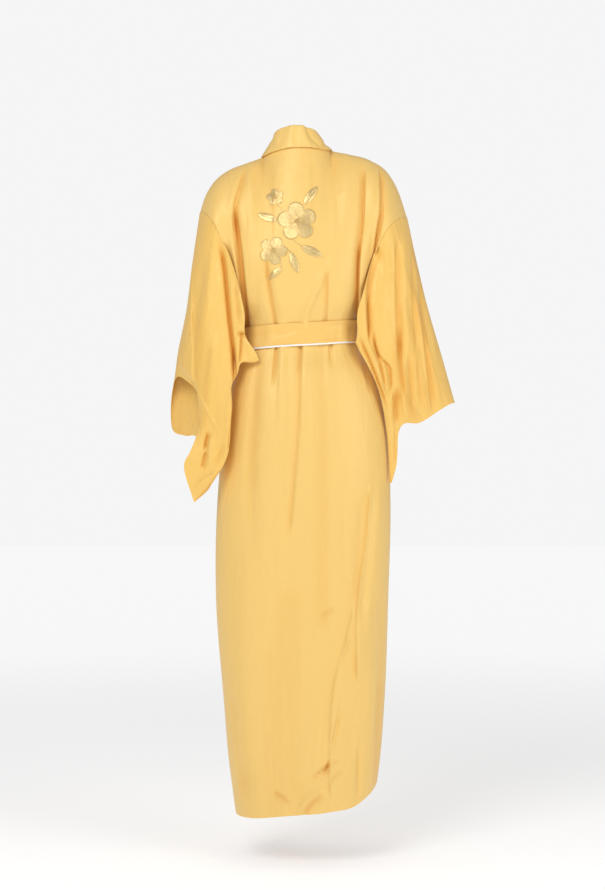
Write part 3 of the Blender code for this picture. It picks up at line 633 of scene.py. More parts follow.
# the folds at the armholes, which run on from the body cloth into the sleeves
armholeCreases = {
    1: [
        ((247, 160), (240, 185), (234.5, 208), (236.5, 225), (240, 246), -6, 1, 4),
        ((234.5, 203), (238, 228), (241, 250), (244, 283), (249, 330), (250, 348), -15, 5, 1),
        ((239, 166), (231, 208), (232, 238), 4, 4, 2.5),
        ((230, 232), (235, 262), (239, 290), (245, 332), 5, 3, 2),
        ((220, 236), (225, 271), (226.5, 287), (229, 314), (233, 350), (235, 388), -15, 2.6, 2),
    ],
    -1: [
        ((365, 160), (364, 200), (363, 226), (360, 251), (358.5, 280), (358, 326), -8, 4.5, 1),
        ((361, 236), (358.5, 262), (358, 295), (358, 336), -8, 2.2, 1),
        ((372, 158), (372, 207), (368, 245), (364, 284), (364, 340), 4, 5, 4),
        ((379, 160), (381, 190), (380.5, 212), (378, 226), (373, 259), (369.5, 273), (369, 346), -10, 1, 4),
        ((408, 215), (393, 226), (379, 236), -1.2, 0.8, 0.8),
    ],
}
bodyCreases = {
    "back": armholeCreases[1]
    + armholeCreases[-1]
    + [
        ((247, 158), (252, 200), (251, 250), 2.5, 5, 8),
        ((340, 152), (344, 200), (342, 250), 2.0, 9, 6),
        ((254, 163), (256, 205), -1.6, 3, 6),
        ((334, 156), (333, 190), -1.4, 5, 3),
        ((265, 250), (271, 292), (280, 346), -6, 3, 1),
        ((271, 256), (277, 292), (286, 346), 2.5, 3, 5),
        ((285, 280), (288, 330), 1.8, 5, 6),
        ((305, 346), (308, 312), (322, 280), (328, 256), 5, 5, 3),
        ((327, 258), (327, 300), (325, 346), -4.5, 2.5, 1),
        ((338, 240), (343, 285), (345, 330), 2, 7, 6),
        ((262, 252), (256, 292), (254, 330), -1.8, 6, 6),
        ((332, 142), (333, 200), (334, 250), 1.6, 4, 4),
        ((262, 146), (261, 200), (260, 244), 1.2, 4, 4),
        ((311, 150), (314, 245), -1.2, 1.5, 5),
        ((272, 152), (272, 250), -1.2, 5, 1.5),
        ((308, 156), (302, 170), (292, 184), -0.7, 2, 3),
        ((277, 322), (275, 356), (271, 392), -6, 1.2, 2.2),
        ((283, 322), (281, 370), (279, 430), 3.5, 3, 5),
        ((301, 322), (301, 356), (299, 380), -4, 2, 1.2),
        ((301, 322), (298, 430), (289, 540), -4, 4, 1.2),
        ((306, 330), (303, 430), (294, 540), 2, 3, 7),
        ((329, 322), (330, 346), (331, 372), -5, 1.5, 3),
        ((322, 330), (323, 480), (324, 640), -2.5, 9, 4),
        ((342, 330), (345, 440), (348, 580), 3, 9, 8),
        ((356, 330), (364, 366), (372, 400), -5, 1.6, 4),
        ((262, 348), (254, 400), (250, 500), -2, 6, 9),
        ((270, 380), (264, 500), (262, 660), 1.8, 10, 9),
        ((371, 480), (367, 540), (361, 582), (358, 612), (358, 690), 11, 1.4, 19),
        ((357, 596), (346, 645), (338, 672), (331, 752), (331, 806), 8, 1.8, 24),
        ((358, 606), (357, 640), (357, 668), -3, 1, 1.5),
        ((362, 490), (359, 550), (353, 612), -2, 5, 3),
        ((354, 632), (345, 654), (336, 676), -5, 1.6, 2.5),
        ((319, 619), (327, 612), (336, 608), -4, 2, 3),
        ((342, 700), (335, 732), (328, 760), -5, 1.3, 3),
        ((345, 706), (339, 730), (334, 756), 1.4, 2, 4),
        ((358, 742), (357, 775), (357, 806), -5, 1.2, 3),
        ((381, 590), (378, 700), (374, 800), -5, 2.5, 5),
        ((371, 640), (368, 720), (364, 800), 1.8, 5, 5),
        ((308, 782), (325, 769), (343, 759), -7, 2, 3),
        ((318, 785), (328, 775), (338, 764), 1.7, 2, 2.5),
        ((321, 782), (327, 768), (332, 754), -6, 1.6, 2),
        ((325, 788), (335, 778), (346, 771), -6, 2, 3),
        ((292, 820), (307, 800), (325, 788), 6, 2.5, 3),
        ((298, 824), (311, 806), (328, 795), -6, 2.5, 3),
        ((271, 792), (281, 797), (291, 804), -6, 2, 3),
        ((233, 690), (238, 750), (247, 805), -3, 4, 6),
        ((247, 540), (244, 660), (243, 780), 3, 10, 10),
        ((290, 580), (293, 700), (296, 812), -2, 12, 12),
        ((312, 620), (310, 700), (308, 790), 2, 10, 10),
    ],
    "front": [
        ((226, 176), (233, 240), (236, 300), -6, 5, 7),
        ((374, 178), (366, 240), (362, 300), -6, 7, 5),
        ((240, 200), (246, 260), (250, 320), 3, 7, 6),
        ((358, 200), (352, 260), (348, 320), 3, 6, 7),
        ((262, 262), (268, 300), (272, 332), -3, 4, 4),
        ((340, 256), (334, 296), (330, 330), -3, 4, 4),
        ((248, 350), (243, 400), (240, 460), -4, 4, 6),
        ((262, 350), (258, 430), (256, 520), 3, 6, 6),
        ((282, 350), (278, 384), (276, 420), -4, 3, 5),
        ((318, 350), (323, 450), (326, 560), -3, 5, 5),
        ((340, 350), (346, 410), (350, 470), -3.5, 5, 4),
        ((352, 360), (358, 500), (362, 640), 3, 8, 7),
        ((300, 420), (302, 600), (302, 760), 2.5, 9, 9),
        ((268, 520), (262, 650), (258, 780), -2.5, 8, 8),
        ((340, 560), (344, 680), (346, 790), -2.5, 8, 7),
        ((286, 640), (290, 720), (292, 800), -2, 7, 7),
        ((322, 760), (332, 774), (340, 788), -1.6, 3, 3),
    ],
}


def withCreases(points, backRows, frontRows, toBack, share):
    # the back's creases pushed straight towards the camera and the front's straight away from it,
    # fading into each other round the sides, and how high they are
    back = creased(points, backRows) * toBack * share
    front = creased(points, frontRows, True) * (1 - toBack) * share
    moved = points.copy()
    moved[..., 1] += back - front
    return moved, back + front


# where the columns stand, from the centre back to the neck's side and from there to the armhole
neckSteps = np.linspace(0, 1, robe["neckColumns"] + 1)[:-1]
sideSteps = 1 - (1 - np.linspace(0, 1, robe["sideColumns"])) ** robe["sideCrowd"]


def bodyLevels(angles, rows):
    # rows: how many over the shoulder, at the waist and down the skirt
    skirt = robe["skirtLevel"]
    upper = np.concatenate([np.linspace(-1, 0, rows[0])[:-1], np.linspace(0, skirt, rows[1])[:-1]])
    lower = np.linspace(0, 1, rows[2])[:, None] ** robe["skirtCrowd"]
    fixed = np.repeat(upper[:, None], len(angles), axis=1)
    return np.concatenate([fixed, skirt + lower * (hemLevel(angles)[None, :] - skirt)])


def shapedBody(levels, angles, lift, last=True):
    plain = bodyCloth(levels, angles, lift)
    frontEnd, middle, backEnd = robe["sleeveDegrees"]
    fromFront = np.abs(turned(angles, 180))
    sewnOn = ramp(fromFront, middle, backEnd) + ramp(-fromFront, -middle, -frontEnd)
    fade = ramp(levels, -1, robe["ridgeFade"] - 1) * np.where(levels < 0, sewnOn, 1)
    toBack = ramp(np.cos(np.radians(angles)), -robe["backShare"], robe["backShare"])
    plain = plain + outward(levels, angles) * edgeDips(plain, first=True, last=last)[..., None]
    points, height = withCreases(plain, bodyCreases["back"], bodyCreases["front"], toBack, fade)
    # painted shade in the troughs of the main folds and the creases
    return points, foldShadeShare(foldHeight(mainFolds, levels, angles) * robe["mainFoldShade"] + height)


def inAngleOrder(grid, side):
    return grid if side > 0 else grid[:, ::-1]


def addBodyLength(side):
    neckPart = robe["neckPart"]
    backAngles = side * 90 * np.concatenate([neckPart * neckSteps, neckPart + sideSteps * (1 - neckPart)])
    backLevels = bodyLevels(backAngles, robe["backRows"])
    back, backFoldShade = shapedBody(backLevels, np.broadcast_to(backAngles, backLevels.shape), 0.0)
    rows = bodyLevels(np.zeros(1), robe["frontRows"])[:, 0]
    edge = np.minimum(along(frontEdge, "level", "angle", rows), robe["overlapSeamAngle"])[:, None]
    angles = edge + (robe["frontSideAngle"] - edge) * sideSteps[None, :]
    levels = bodyLevels(side * angles[-1], robe["frontRows"])
    front, frontFoldShade = shapedBody(levels, side * angles, frontLap(side, levels, angles))
    front[0] = back[0, len(neckSteps) :]
    piece = addThinCloth(
        sideName("body", side),
        sideNode("body", side),
        "robe",
        robe["wall"],
        (inAngleOrder(back, side), inAngleOrder(backFoldShade, side), robe["backCut"]),
        (inAngleOrder(front[:, ::-1], side), inAngleOrder(frontFoldShade[:, ::-1], side), robe["frontCut"]),
    )
    return piece


def addOverlap(side):
    top = robe["overlapTopLevel"]
    skirt = robe["skirtLevel"]
    upperRows, lowerRows = robe["overlapRows"]
    upper = np.linspace(top, skirt, upperRows)[:-1]
    rows = np.concatenate([upper, skirt + np.linspace(0, 1, lowerRows) * (hemLevel(180.0) - skirt)])
    edge = along(frontEdge, "level", "angle", rows)[:, None]
    seam = robe["overlapSeamAngle"]
    angles = seam + (edge - seam) * np.linspace(0, 1, robe["overlapColumns"])[None, :]
    share = ((rows - skirt) / (rows[-1] - skirt))[:, None]
    sloped = skirt + share * (hemLevel(side * angles[-1]) - skirt)
    levels = np.where(rows[:, None] > skirt, sloped, rows[:, None])
    points, foldShade = shapedBody(levels, side * angles, frontLap(side, levels, angles), last=False)
    piece = addThinCloth(
        sideName("overlap", side),
        sideNode("overlap", side),
        "robe",
        robe["wall"],
        (inAngleOrder(points, side), inAngleOrder(foldShade, side), robe["overlapCut"]),
    )


bodyPieces = [addBodyLength(side) for side in (1, -1)]
for side in (1, -1):
    addOverlap(side)
print("body lengths and overlaps made")

# collar

collar = {
    "width": 0.050,
    "lift": 0.0044,
    "thick": 0.0022,
    "neckLift": 0.0008,
    "overDegrees": 1.8,
    "overLevel": 0.0125,
    "endLevel": 0.45,
    "topHalf": 0.051,
    "topBack": 0.056,
    "topCentre": 0.006,
    "topRise": 0.047,
    "sideRise": 0.030,
    "topTaper": 0.006,
    "frontBack": 0.010,
    "frontRise": 0.026,
    "frontFall": 0.060,
    "freeLevels": (-0.98, -0.40),
    "neckHalf": 0.24,
    "neckSteps": 61,
    "yokeLevels": (-1, 0.1, 120),
    "lapelSteps": 60,
    "acrossSteps": 22,
    "layingSteps": 10,
    "smallLevel": 0.002,
    "smallAngle": 0.5,
    "weld": 1e-6,
    "cut": (0, 0, 2.1, 0.10),
}
collarCreases = [
    ((305, 116), (311, 136), (319, 145), (333, 153), -4, 1.4, 3),
    ((301, 118), (306, 137), (314, 152), 2.2, 4, 2),
    ((287, 116), (281, 136), (277, 151), -1.8, 2, 4),
    ((294, 118), (290, 136), (287, 150), 1.4, 3, 3),
    ((269, 122), (273, 142), (277, 152), -1.8, 3, 1.6),
    ((327, 122), (326, 140), (323, 152), -2, 1.6, 3),
    ((299, 118), (297, 138), (299, 150), -1.2, 4, 2),
]


def laidAcross(side, levels, angles, direction, width):
    # the levels and angles that lie a width across the cloth from a line on it, found in short steps
    smallLevel = collar["smallLevel"]
    smallAngle = collar["smallAngle"]
    step = direction * width / collar["layingSteps"]
    for _ in range(collar["layingSteps"]):
        levels = np.clip(levels, smallLevel - 1, None)
        place = smoothBody(levels, side * angles)
        around = smoothBody(levels, side * (angles + smallAngle)) - place
        down = smoothBody(levels + smallLevel, side * angles) - place
        both = (around * down).sum(-1)
        aroundSquare = (around * around).sum(-1)
        downSquare = (down * down).sum(-1)
        onAround = (around * step).sum(-1)
        onDown = (down * step).sum(-1)
        bottom = aroundSquare * downSquare - both**2
        angles = angles + smallAngle * (onAround * downSquare - onDown * both) / bottom
        levels = levels + smallLevel * (onDown * aroundSquare - onAround * both) / bottom
    return levels, angles


def frontCollar(side, levels):
    angles = along(frontEdge, "level", "angle", levels) - collar["overDegrees"]
    seam = bodyCloth(levels, side * angles, frontLap(side, levels, angles) + collar["lift"])
    run = unit(np.gradient(seam, axis=0))
    across = unit(np.cross(run, outward(levels, side * angles))) * side
    laidLevel, laidAngle = laidAcross(side, levels, angles, across, collar["width"])
    laid = bodyCloth(laidLevel, side * laidAngle, frontLap(side, laidLevel, laidAngle) + collar["lift"])
    standing = np.stack(
        [
            collar["topCentre"] + side * (collar["topHalf"] - collar["topTaper"] * (levels + 1)),
            seam[:, 1] + collar["frontBack"],
            collar["frontRise"] - collar["frontFall"] * (levels + 1),
        ],
        axis=-1,
    )
    onCloth = ramp(levels, *collar["freeLevels"])[:, None]
    free = standing * (1 - onCloth) + laid * onCloth
    width = np.linalg.norm(free - seam, axis=-1, keepdims=True)
    return seam, seam + (free - seam) * np.maximum(collar["width"] / width, 1)


def neckCollar():
    parts = np.linspace(collar["neckHalf"], -collar["neckHalf"], collar["neckSteps"])
    seam = bodyCloth(collar["overLevel"] - 1, parts * 90, collar["lift"] + collar["neckLift"])
    turn = parts / robe["neckPart"] * math.pi / 2
    free = np.stack(
        [
            collar["topCentre"] + collar["topHalf"] * np.sin(turn),
            collar["topBack"] * np.cos(turn),
            collar["sideRise"] + (collar["topRise"] - collar["sideRise"]) * np.cos(turn),
        ],
        axis=-1,
    )
    return seam, free


def addCollar():
    top, low, steps = collar["yokeLevels"]
    lapel = np.linspace(low, collar["endLevel"], collar["lapelSteps"])
    levels = np.concatenate([np.linspace(top, low, steps)[:-1], lapel])
    leftSeam, leftFree = frontCollar(1, levels)
    rightSeam, rightFree = frontCollar(-1, levels)
    backSeam, backFree = neckCollar()
    seam = np.concatenate([leftSeam[::-1], backSeam, rightSeam])
    free = np.concatenate([leftFree[::-1], backFree, rightFree])
    parts = np.linspace(1, 0, collar["acrossSteps"])[:, None, None]
    outer = (seam[None] * (1 - parts) + free[None] * parts)[:, ::-1]
    height = creased(outer, collarCreases) * (outer[..., 1] > 0)
    height += edgeDips(outer, bottom=True)
    outer = (outer + gridNormals(outer) * height[..., None])[::-1]
    normals = -gridNormals(outer)
    inner = (outer - normals * collar["thick"])[::-1]
    tip = outer[-1] + (unit(outer[-1] - outer[-2]) - normals[-1]) * collar["thick"] * 0.5
    whole = np.concatenate([outer, tip[None], inner, outer[:1]])[::-1]
    bm = startCloth()
    layGrid(bm, whole, np.zeros(whole.shape[:2]), collar["cut"])
    bmesh.ops.remove_doubles(bm, verts=bm.verts, dist=collar["weld"])
    bmesh.ops.holes_fill(bm, edges=[edge for edge in bm.edges if edge.is_boundary], sides=0)
    piece = addPiece("collarBand", bm, "robe", "collar")


addCollar()
print("collar made")

# sleeves

sleeve = {
    "alongSteps": 141,
    "aroundSteps": 289,
    "armholeSewn": 0.63,
    "sewnDegrees": 72,
    "looseDegrees": 80,
    "freeDegrees": 100,
    "sewnReach": 0.06,
    "seamDepth": 0.25,
    "backShare": 0.15,
    "cut": (0, 0, 0.84, 0.42),
}
# each section runs from the bottom seam, low and high on the side, to the fold at the top
sleeveColumns = (
    *("along", "seamOut", "seamDrop", "lowOut", "lowDrop", "highOut", "highDrop"),
    *("foldOut", "foldDrop", "seamBack", "foldBack", "halfDepth", "frontOut"),
)
sleeves = {
    1: table(
        sleeveColumns,
        (0.00, 0.087, 0.470, 0.127, 0.355, 0.163, 0.232, 0.220, 0.139, 0.094, 0.000, 0.070, 0.036),
        (0.25, 0.140, 0.515, 0.167, 0.430, 0.197, 0.318, 0.235, 0.240, 0.098, -0.004, 0.058, 0.006),
        (0.50, 0.146, 0.585, 0.183, 0.490, 0.218, 0.400, 0.249, 0.350, 0.108, -0.008, 0.054, 0.000),
        (0.75, 0.160, 0.690, 0.199, 0.600, 0.233, 0.500, 0.270, 0.455, 0.108, -0.012, 0.052, 0.000),
    ),
    -1: table(
        sleeveColumns,
        (0.00, 0.124, 0.432, 0.141, 0.350, 0.170, 0.232, 0.240, 0.150, 0.084, 0.000, 0.070, 0.030),
        (0.25, 0.150, 0.480, 0.178, 0.410, 0.216, 0.325, 0.262, 0.250, 0.086, -0.005, 0.058, 0.006),
        (0.50, 0.177, 0.542, 0.205, 0.480, 0.247, 0.410, 0.286, 0.350, 0.074, -0.010, 0.053, 0.000),
        (0.75, 0.194, 0.634, 0.224, 0.570, 0.267, 0.507, 0.317, 0.455, 0.052, -0.015, 0.048, 0.000),
    ),
}
cuffs = {
    1: table(
        ("around", "out", "drop", "back"),
        (0, 0.229, 0.780, 0.080),
        (25, 0.250, 0.705, 0.092),
        (50, 0.236, 0.668, 0.092),
        (75, 0.223, 0.635, 0.087),
        (100, 0.208, 0.582, 0.072),
        (125, 0.222, 0.540, 0.060),
        (150, 0.247, 0.514, 0.040),
        (180, 0.274, 0.508, 0.000),
        (205, 0.286, 0.560, -0.034),
        (230, 0.285, 0.618, -0.048),
        (260, 0.256, 0.634, -0.046),
        (290, 0.228, 0.638, -0.028),
        (320, 0.190, 0.690, 0.046),
        (345, 0.197, 0.750, 0.070),
        (360, 0.229, 0.780, 0.080),
    ),
    -1: table(
        ("around", "out", "drop", "back"),
        (0, 0.200, 0.740, 0.050),
        (12, 0.205, 0.734, 0.053),
        (24, 0.214, 0.700, 0.053),
        (48, 0.220, 0.622, 0.046),
        (60, 0.230, 0.609, 0.040),
        (84, 0.265, 0.606, 0.028),
        (108, 0.296, 0.588, 0.020),
        (130, 0.319, 0.573, 0.012),
        (155, 0.338, 0.563, -0.001),
        (180, 0.347, 0.561, -0.020),
        (210, 0.332, 0.556, -0.040),
        (240, 0.296, 0.566, -0.047),
        (270, 0.262, 0.582, -0.036),
        (300, 0.236, 0.598, -0.008),
        (324, 0.218, 0.636, 0.026),
        (348, 0.203, 0.725, 0.046),
        (360, 0.200, 0.740, 0.050),
    ),
}
sleeveFolds = {
    1: table(
        foldColumns,
        (0.05, 132, 0.85, 118, 0.003, 12),
        (0.05, 112, 0.80, 98, -0.003, 12),
        (0.25, 80, 0.95, 72, -0.004, 9),
        (0.10, 235, 0.85, 245, -0.008, 10),
        (0.20, 275, 0.90, 270, 0.006, 10),
    ),
    -1: table(
        foldColumns,
        (0.05, 130, 1.10, 128, -0.005, 8),
        (0.10, 108, 1.10, 104, -0.004, 10),
        (0.30, 80, 1.05, 80, -0.007, 8),
        (0.10, 235, 1.05, 240, -0.008, 10),
        (0.20, 275, 1.05, 272, 0.006, 10),
    ),
}
sleeveCreases = {
    1: armholeCreases[1][3:]
    + [
        ((191, 236), (191, 300), (191.7, 345), (191, 396), 6, 6, 1.4),
        ((196, 240), (196, 320), (197, 400), -2, 3, 6),
        ((206, 190), (207, 260), (208, 330), 1.5, 5, 6),
        ((214, 250), (217, 330), (219, 420), 2.5, 12, 5),
        ((239, 250), (236, 285), (238, 320), -4, 1.5, 3),
        ((243, 286), (239, 304), (237, 326), -3, 1.5, 1.5),
        ((233, 340), (234, 377), (232, 417), (227, 455), -9, 1, 2),
        ((234, 333), (243, 334), (254, 336), -9, 1.6, 2.4),
        ((241, 326), (240.5, 345), (238, 374), -7, 1, 1.8),
        ((247, 338), (250, 350), (254, 362), 2.5, 3, 3),
        ((238, 350), (239, 374), (236, 404), 4.5, 3, 3),
        ((208, 430), (205.5, 441), (204, 452), -9, 1.2, 3),
        ((207, 448), (203.5, 458), (201, 472), -8, 1.2, 3),
        ((211, 436), (209, 450), (210, 470), 3.8, 1.4, 4),
        ((194, 485), (206, 479), (221, 470), 7, 2.4, 9),
        ((222, 440), (218, 455), (211, 470), -3, 1.4, 3),
        ((193, 387), (207, 411), (220, 436), 2.5, 1.2, 2),
        ((186, 392), (184, 412), (185, 436), -3, 3, 3),
    ],
    -1: armholeCreases[-1][2:]
    + [
        ((388, 236), (390, 262), (391, 290), -2, 1, 3),
        ((385, 270), (386, 320), (388, 366), 2.5, 8, 8),
        ((396, 232), (397, 300), (399, 366), -6, 1.4, 5),
        ((404, 228), (405, 300), (408, 372), 4, 4, 3.5),
        ((411, 236), (413, 300), (416, 356), -4, 1.4, 3),
        ((412, 236), (419, 285), (420.5, 310), (423, 329), (427, 361), (430, 391), (433, 416), -6, 1, 3.6),
        ((426, 284), (433, 340), (441, 402), 3, 4, 4),
        ((440, 340), (447, 370), (452, 404), -2, 3, 3),
        ((400, 322), (401, 360), (405, 402), -7, 3.4, 1.6),
        ((408, 344), (410, 380), (413, 416), -4.5, 1.4, 2.4),
        ((417, 350), (419, 384), (421, 416), -3, 1.4, 2.6),
        ((367, 290), (368, 327), (371, 352), -5, 1, 1.6),
        ((399, 384), (395, 402), (397, 428), -10, 3, 3.6),
        ((392, 392), (392, 410), (392, 430), 4, 2.4, 1.6),
        ((403, 388), (404, 406), (406, 426), 4, 2, 3),
        ((357, 330), (372, 365), (382, 391), (389, 414), -8, 2, 1.2),
        ((363, 330), (375, 360), (386, 400), 4, 2, 2),
        ((371, 326), (379, 360), (388, 400), -7, 1.2, 2),
        ((373, 326), (382.5, 359), (388, 364), (391, 377), (390, 402), -7, 3.4, 1),
        ((380, 352), (385, 374), (388, 396), 3, 2, 2),
        ((395, 416), (395, 440), (394, 472), -3, 1, 2),
    ],
}
# how the free edges hang: where along and around, how far each way, and how much they move in x, y, z
sleeveEdges = {
    1: [
        (0.00, 46, 0.12, 14, 0.011, 0.000, 0.000),
        (0.00, 72, 0.14, 16, -0.006, 0.002, 0.000),
        (0.00, 92, 0.10, 14, -0.008, 0.002, 0.000),
        (0.12, 0, 0.06, 30, 0.010, 0.000, 0.014),
        (0.30, 10, 0.10, 22, 0.003, 0.003, 0.000),
    ],
    -1: [
        (0.00, 66, 0.12, 20, 0.010, 0.002, 0.000),
        (0.00, 96, 0.08, 12, 0.004, -0.014, 0.000),
        (0.14, 0, 0.08, 26, 0.004, 0.002, 0.004),
    ],
}
sleeveFrontCreases = {
    1: [
        ((392, 236), (400, 320), (402, 404), -5, 4, 6),
        ((404, 246), (411, 320), (414, 404), 3, 5, 5),
        ((380, 254), (383, 330), (384, 404), -5, 4, 5),
        ((372, 294), (376, 360), (378, 434), 3, 5, 4),
        ((396, 394), (398, 414), (400, 434), -3, 3, 3),
    ],
    -1: [
        ((204, 236), (190, 320), (182, 404), -5, 6, 4),
        ((192, 246), (178, 320), (168, 400), 3, 5, 5),
        ((214, 266), (209, 330), (206, 404), -5, 5, 4),
        ((178, 326), (168, 364), (160, 404), -3, 4, 4),
    ],
}


def sleeveSection(side, row, around):
    section = {name: values[row] for name, values in sleeves[side].items()}
    across = (1 - np.cos(np.radians(around))) / 2
    places = table(
        ("across", "out", "drop"),
        (0, section["seamOut"], section["seamDrop"]),
        (1 / 3, section["lowOut"], section["lowDrop"]),
        (2 / 3, section["highOut"], section["highDrop"]),
        (1, section["foldOut"], section["foldDrop"]),
    )
    x = along(places, "across", "out", across)
    z = -along(places, "across", "drop", across)
    middle = section["seamBack"] + (section["foldBack"] - section["seamBack"]) * across
    turn = np.sin(np.radians(around))
    depth = section["halfDepth"] * turn * (sleeve["seamDepth"] + (1 - sleeve["seamDepth"]) * across)
    x = x + section["frontOut"] * np.maximum(-turn, 0)
    return np.stack([side * x, middle + depth, z], axis=-1)


def sleeveArmhole(side, around):
    plain = sleeveSection(side, 0, around)
    fromTop = np.abs(around - 180)
    share = np.clip(fromTop / sleeve["sewnDegrees"], 0, 1) * sleeve["armholeSewn"]
    angle = side * np.where(around <= 180, 90 - 1e-4, 90 + 1e-4)
    sewn = smoothBody(share - 1, angle)
    held = 1 - ramp(fromTop, sleeve["sewnDegrees"], sleeve["freeDegrees"])
    return plain + (sewn - plain) * held[:, None]


def sleeveCuff(side, around):
    out, drop, back = (along(cuffs[side], "around", column, around) for column in ("out", "drop", "back"))
    return np.stack([side * out, back, -drop], axis=-1)


def sleevePoints(side, alongs, around):
    # the plain sleeve: smooth curves from the armhole through its sections to the cuff
    keys = np.append(sleeves[side]["along"], 1.0)
    sections = [sleeveSection(side, row, around) for row in range(1, len(sleeves[side]["along"]))]
    outlines = np.array([sleeveArmhole(side, around), *sections, sleeveCuff(side, around)])
    points = np.empty((len(alongs), len(around), 3))
    for i, axis in np.ndindex(len(around), 3):
        rows = {"along": keys, "value": outlines[:, i, axis]}
        points[:, i, axis] = along(rows, "along", "value", alongs)
    return points


def addSleeve(side):
    alongs = np.linspace(0, 1, sleeve["alongSteps"])
    around = np.linspace(0, 360, sleeve["aroundSteps"])
    points = sleevePoints(side, alongs, around)
    # the edge and the creases stay off the seam at the armhole, and run up to the free edge below it
    fromTop = np.abs(around - 180)
    atArmhole = 1 - ramp(alongs, 0, sleeve["sewnReach"])[:, None]
    loose = 1 - (1 - ramp(fromTop, sleeve["sewnDegrees"], sleeve["looseDegrees"])) * atArmhole
    fade = 1 - (1 - ramp(fromTop, sleeve["sewnDegrees"], sleeve["freeDegrees"])) * atArmhole
    for place, turn, reach, spread, *moved in sleeveEdges[side]:
        share = bell(alongs - place, reach)[:, None] * bell(turned(around, turn), spread) * loose
        points += share[..., None] * np.array(moved)
    ring = points[:, :-1]
    beside = np.roll(ring, -1, axis=1) - np.roll(ring, 1, axis=1)
    normal = unit(np.cross(beside, np.gradient(ring, axis=0))) * -side
    normal = np.concatenate([normal, normal[:, :1]], axis=1)
    big = foldHeight(sleeveFolds[side], alongs[:, None], around[None, :])
    points = points + normal * big[..., None]
    toBack = ramp(np.sin(np.radians(around)), -sleeve["backShare"], sleeve["backShare"])[None, :]
    points, fine = withCreases(points, sleeveCreases[side], sleeveFrontCreases[side], toBack, fade)
    points[:, -1] = points[:, 0]
    # painted shade in the troughs of the sleeve's folds and creases
    foldShade = foldShadeShare(big + fine)
    piece = addThinCloth(
        sideName("sleeve", side),
        sideNode("sleeve", side),
        "sleeve",
        robe["wall"],
        (inAngleOrder(points, -side), inAngleOrder(foldShade, -side), sleeve["cut"]),
    )


for side in (1, -1):
    addSleeve(side)
print("sleeves made")

# belt

belt = {
    "height": 0.047,
    "drop": 0.4125,
    "tilt": 0.010,
    "lift": 0.0048,
    "thick": 0.0024,
    "overDegrees": (84, 108, 246, 270),
    "steps": (18, 241),
    "waves": ((0.0005, 7, 120, 0), (0.0004, 17, 0, 1)),
    "weld": 1e-6,
    "cut": (0, 0, 0.8, 0.10),
    "pipingRadius": 0.0021,
    "pipingSteps": 180,
    "seamGap": 0.0003,
}
knot = {
    "angle": 172.0,
    "size": (0.068, 0.034, 0.054),
    "square": 0.8,
    "pinch": 0.22,
    "pinchWidth": 0.16,
    "pleats": 9,
    "pleatRise": 0.035,
    "pleatStart": 2.2,
    "wrapDip": 0.16,
    "wrapPlace": 0.13,
    "wrapWidth": 0.035,
    "segments": (96, 60),
}
beltEnd = {
    "length": 0.430,
    "steps": (90, 24),
    "topGap": 0.0010,
    "topLean": 2.2,
    "lean": 11.0,
    "topDegrees": 8.0,
    "degrees": 20.0,
    "widenBy": 0.16,
    "taper": 0.15,
    "apart": 0.0025,
    "fallBack": (0.013, 0.3),
    "sway": (0.002, 6),
    "gathers": (0.0012, 22, 0.35),
    "ripples": (0.0012, 5, 9),
    "ripplesFrom": (0.1, 0.4),
    "hangFrom": 0.25,
    "cut": (0, 0, 0.05, 0.43),
}
beltCreases = [
    ((262, 345), (300, 333), (338, 328), 1.8, 2, 2.5),
    ((268, 349), (310, 340), (352, 335), -1.8, 2, 2.5),
    ((296, 332), (330, 326), (358, 323), -1.4, 2, 2),
    ((248, 339), (268, 333), (292, 336), -1.8, 2, 3),
    ((316, 346), (338, 340), (362, 341), 1.4, 2, 2),
    ((272, 322), (276, 336), (277, 350), -1.2, 1.5, 2),
    ((337, 318), (338, 334), (336, 350), -1.2, 1.2, 1.5),
]


def beltMiddle(angle):
    return belt["drop"] + belt["tilt"] * np.sin(np.radians(angle)) - robe["armpitDrop"]


def beltPoint(angle, belowMiddle, lift):
    # over the lapped fronts the belt stands out by their collar and lap
    leftFrom, leftTo, rightTo, rightFrom = belt["overDegrees"]
    lapped = ramp(angle, leftFrom, leftTo) * (1 - ramp(angle, rightTo, rightFrom))
    out = (robe["lap"] + collar["lift"]) * lapped + lift
    level = beltMiddle(angle) + belowMiddle
    return smoothBody(level, angle) + outward(level, angle) * np.broadcast_to(out, level.shape)[..., None]


def addBeltBand():
    rows, columns = belt["steps"]
    angles = np.linspace(0, 360, columns)
    heights = np.linspace(-belt["height"] / 2, belt["height"] / 2, rows)[:, None]
    outer = beltPoint(angles, heights, belt["lift"])
    height = creased(outer, beltCreases) * (outer[..., 1] > 0)
    for rise, turns, slant, start in belt["waves"]:
        height += rise * np.sin(np.radians(angles) * turns + heights * slant + start)
    normals = outward(beltMiddle(angles) + heights, angles)
    outer = outer + normals * height[..., None]
    outer[:, -1] = outer[:, 0]
    half = belt["thick"] * 0.5
    inner = (outer - normals * belt["thick"])[::-1]
    top = outer[0] + (unit(outer[0] - outer[1]) - normals[0]) * half
    bottom = outer[-1] + (unit(outer[-1] - outer[-2]) - normals[-1]) * half
    whole = np.concatenate([top[None], outer, bottom[None], inner, top[None]])
    bm = startCloth()
    layGrid(bm, whole, np.zeros(whole.shape[:2]), belt["cut"])
    bmesh.ops.remove_doubles(bm, verts=bm.verts, dist=belt["weld"])
    piece = addPiece("beltBand", bm, "belt", "belt_band")


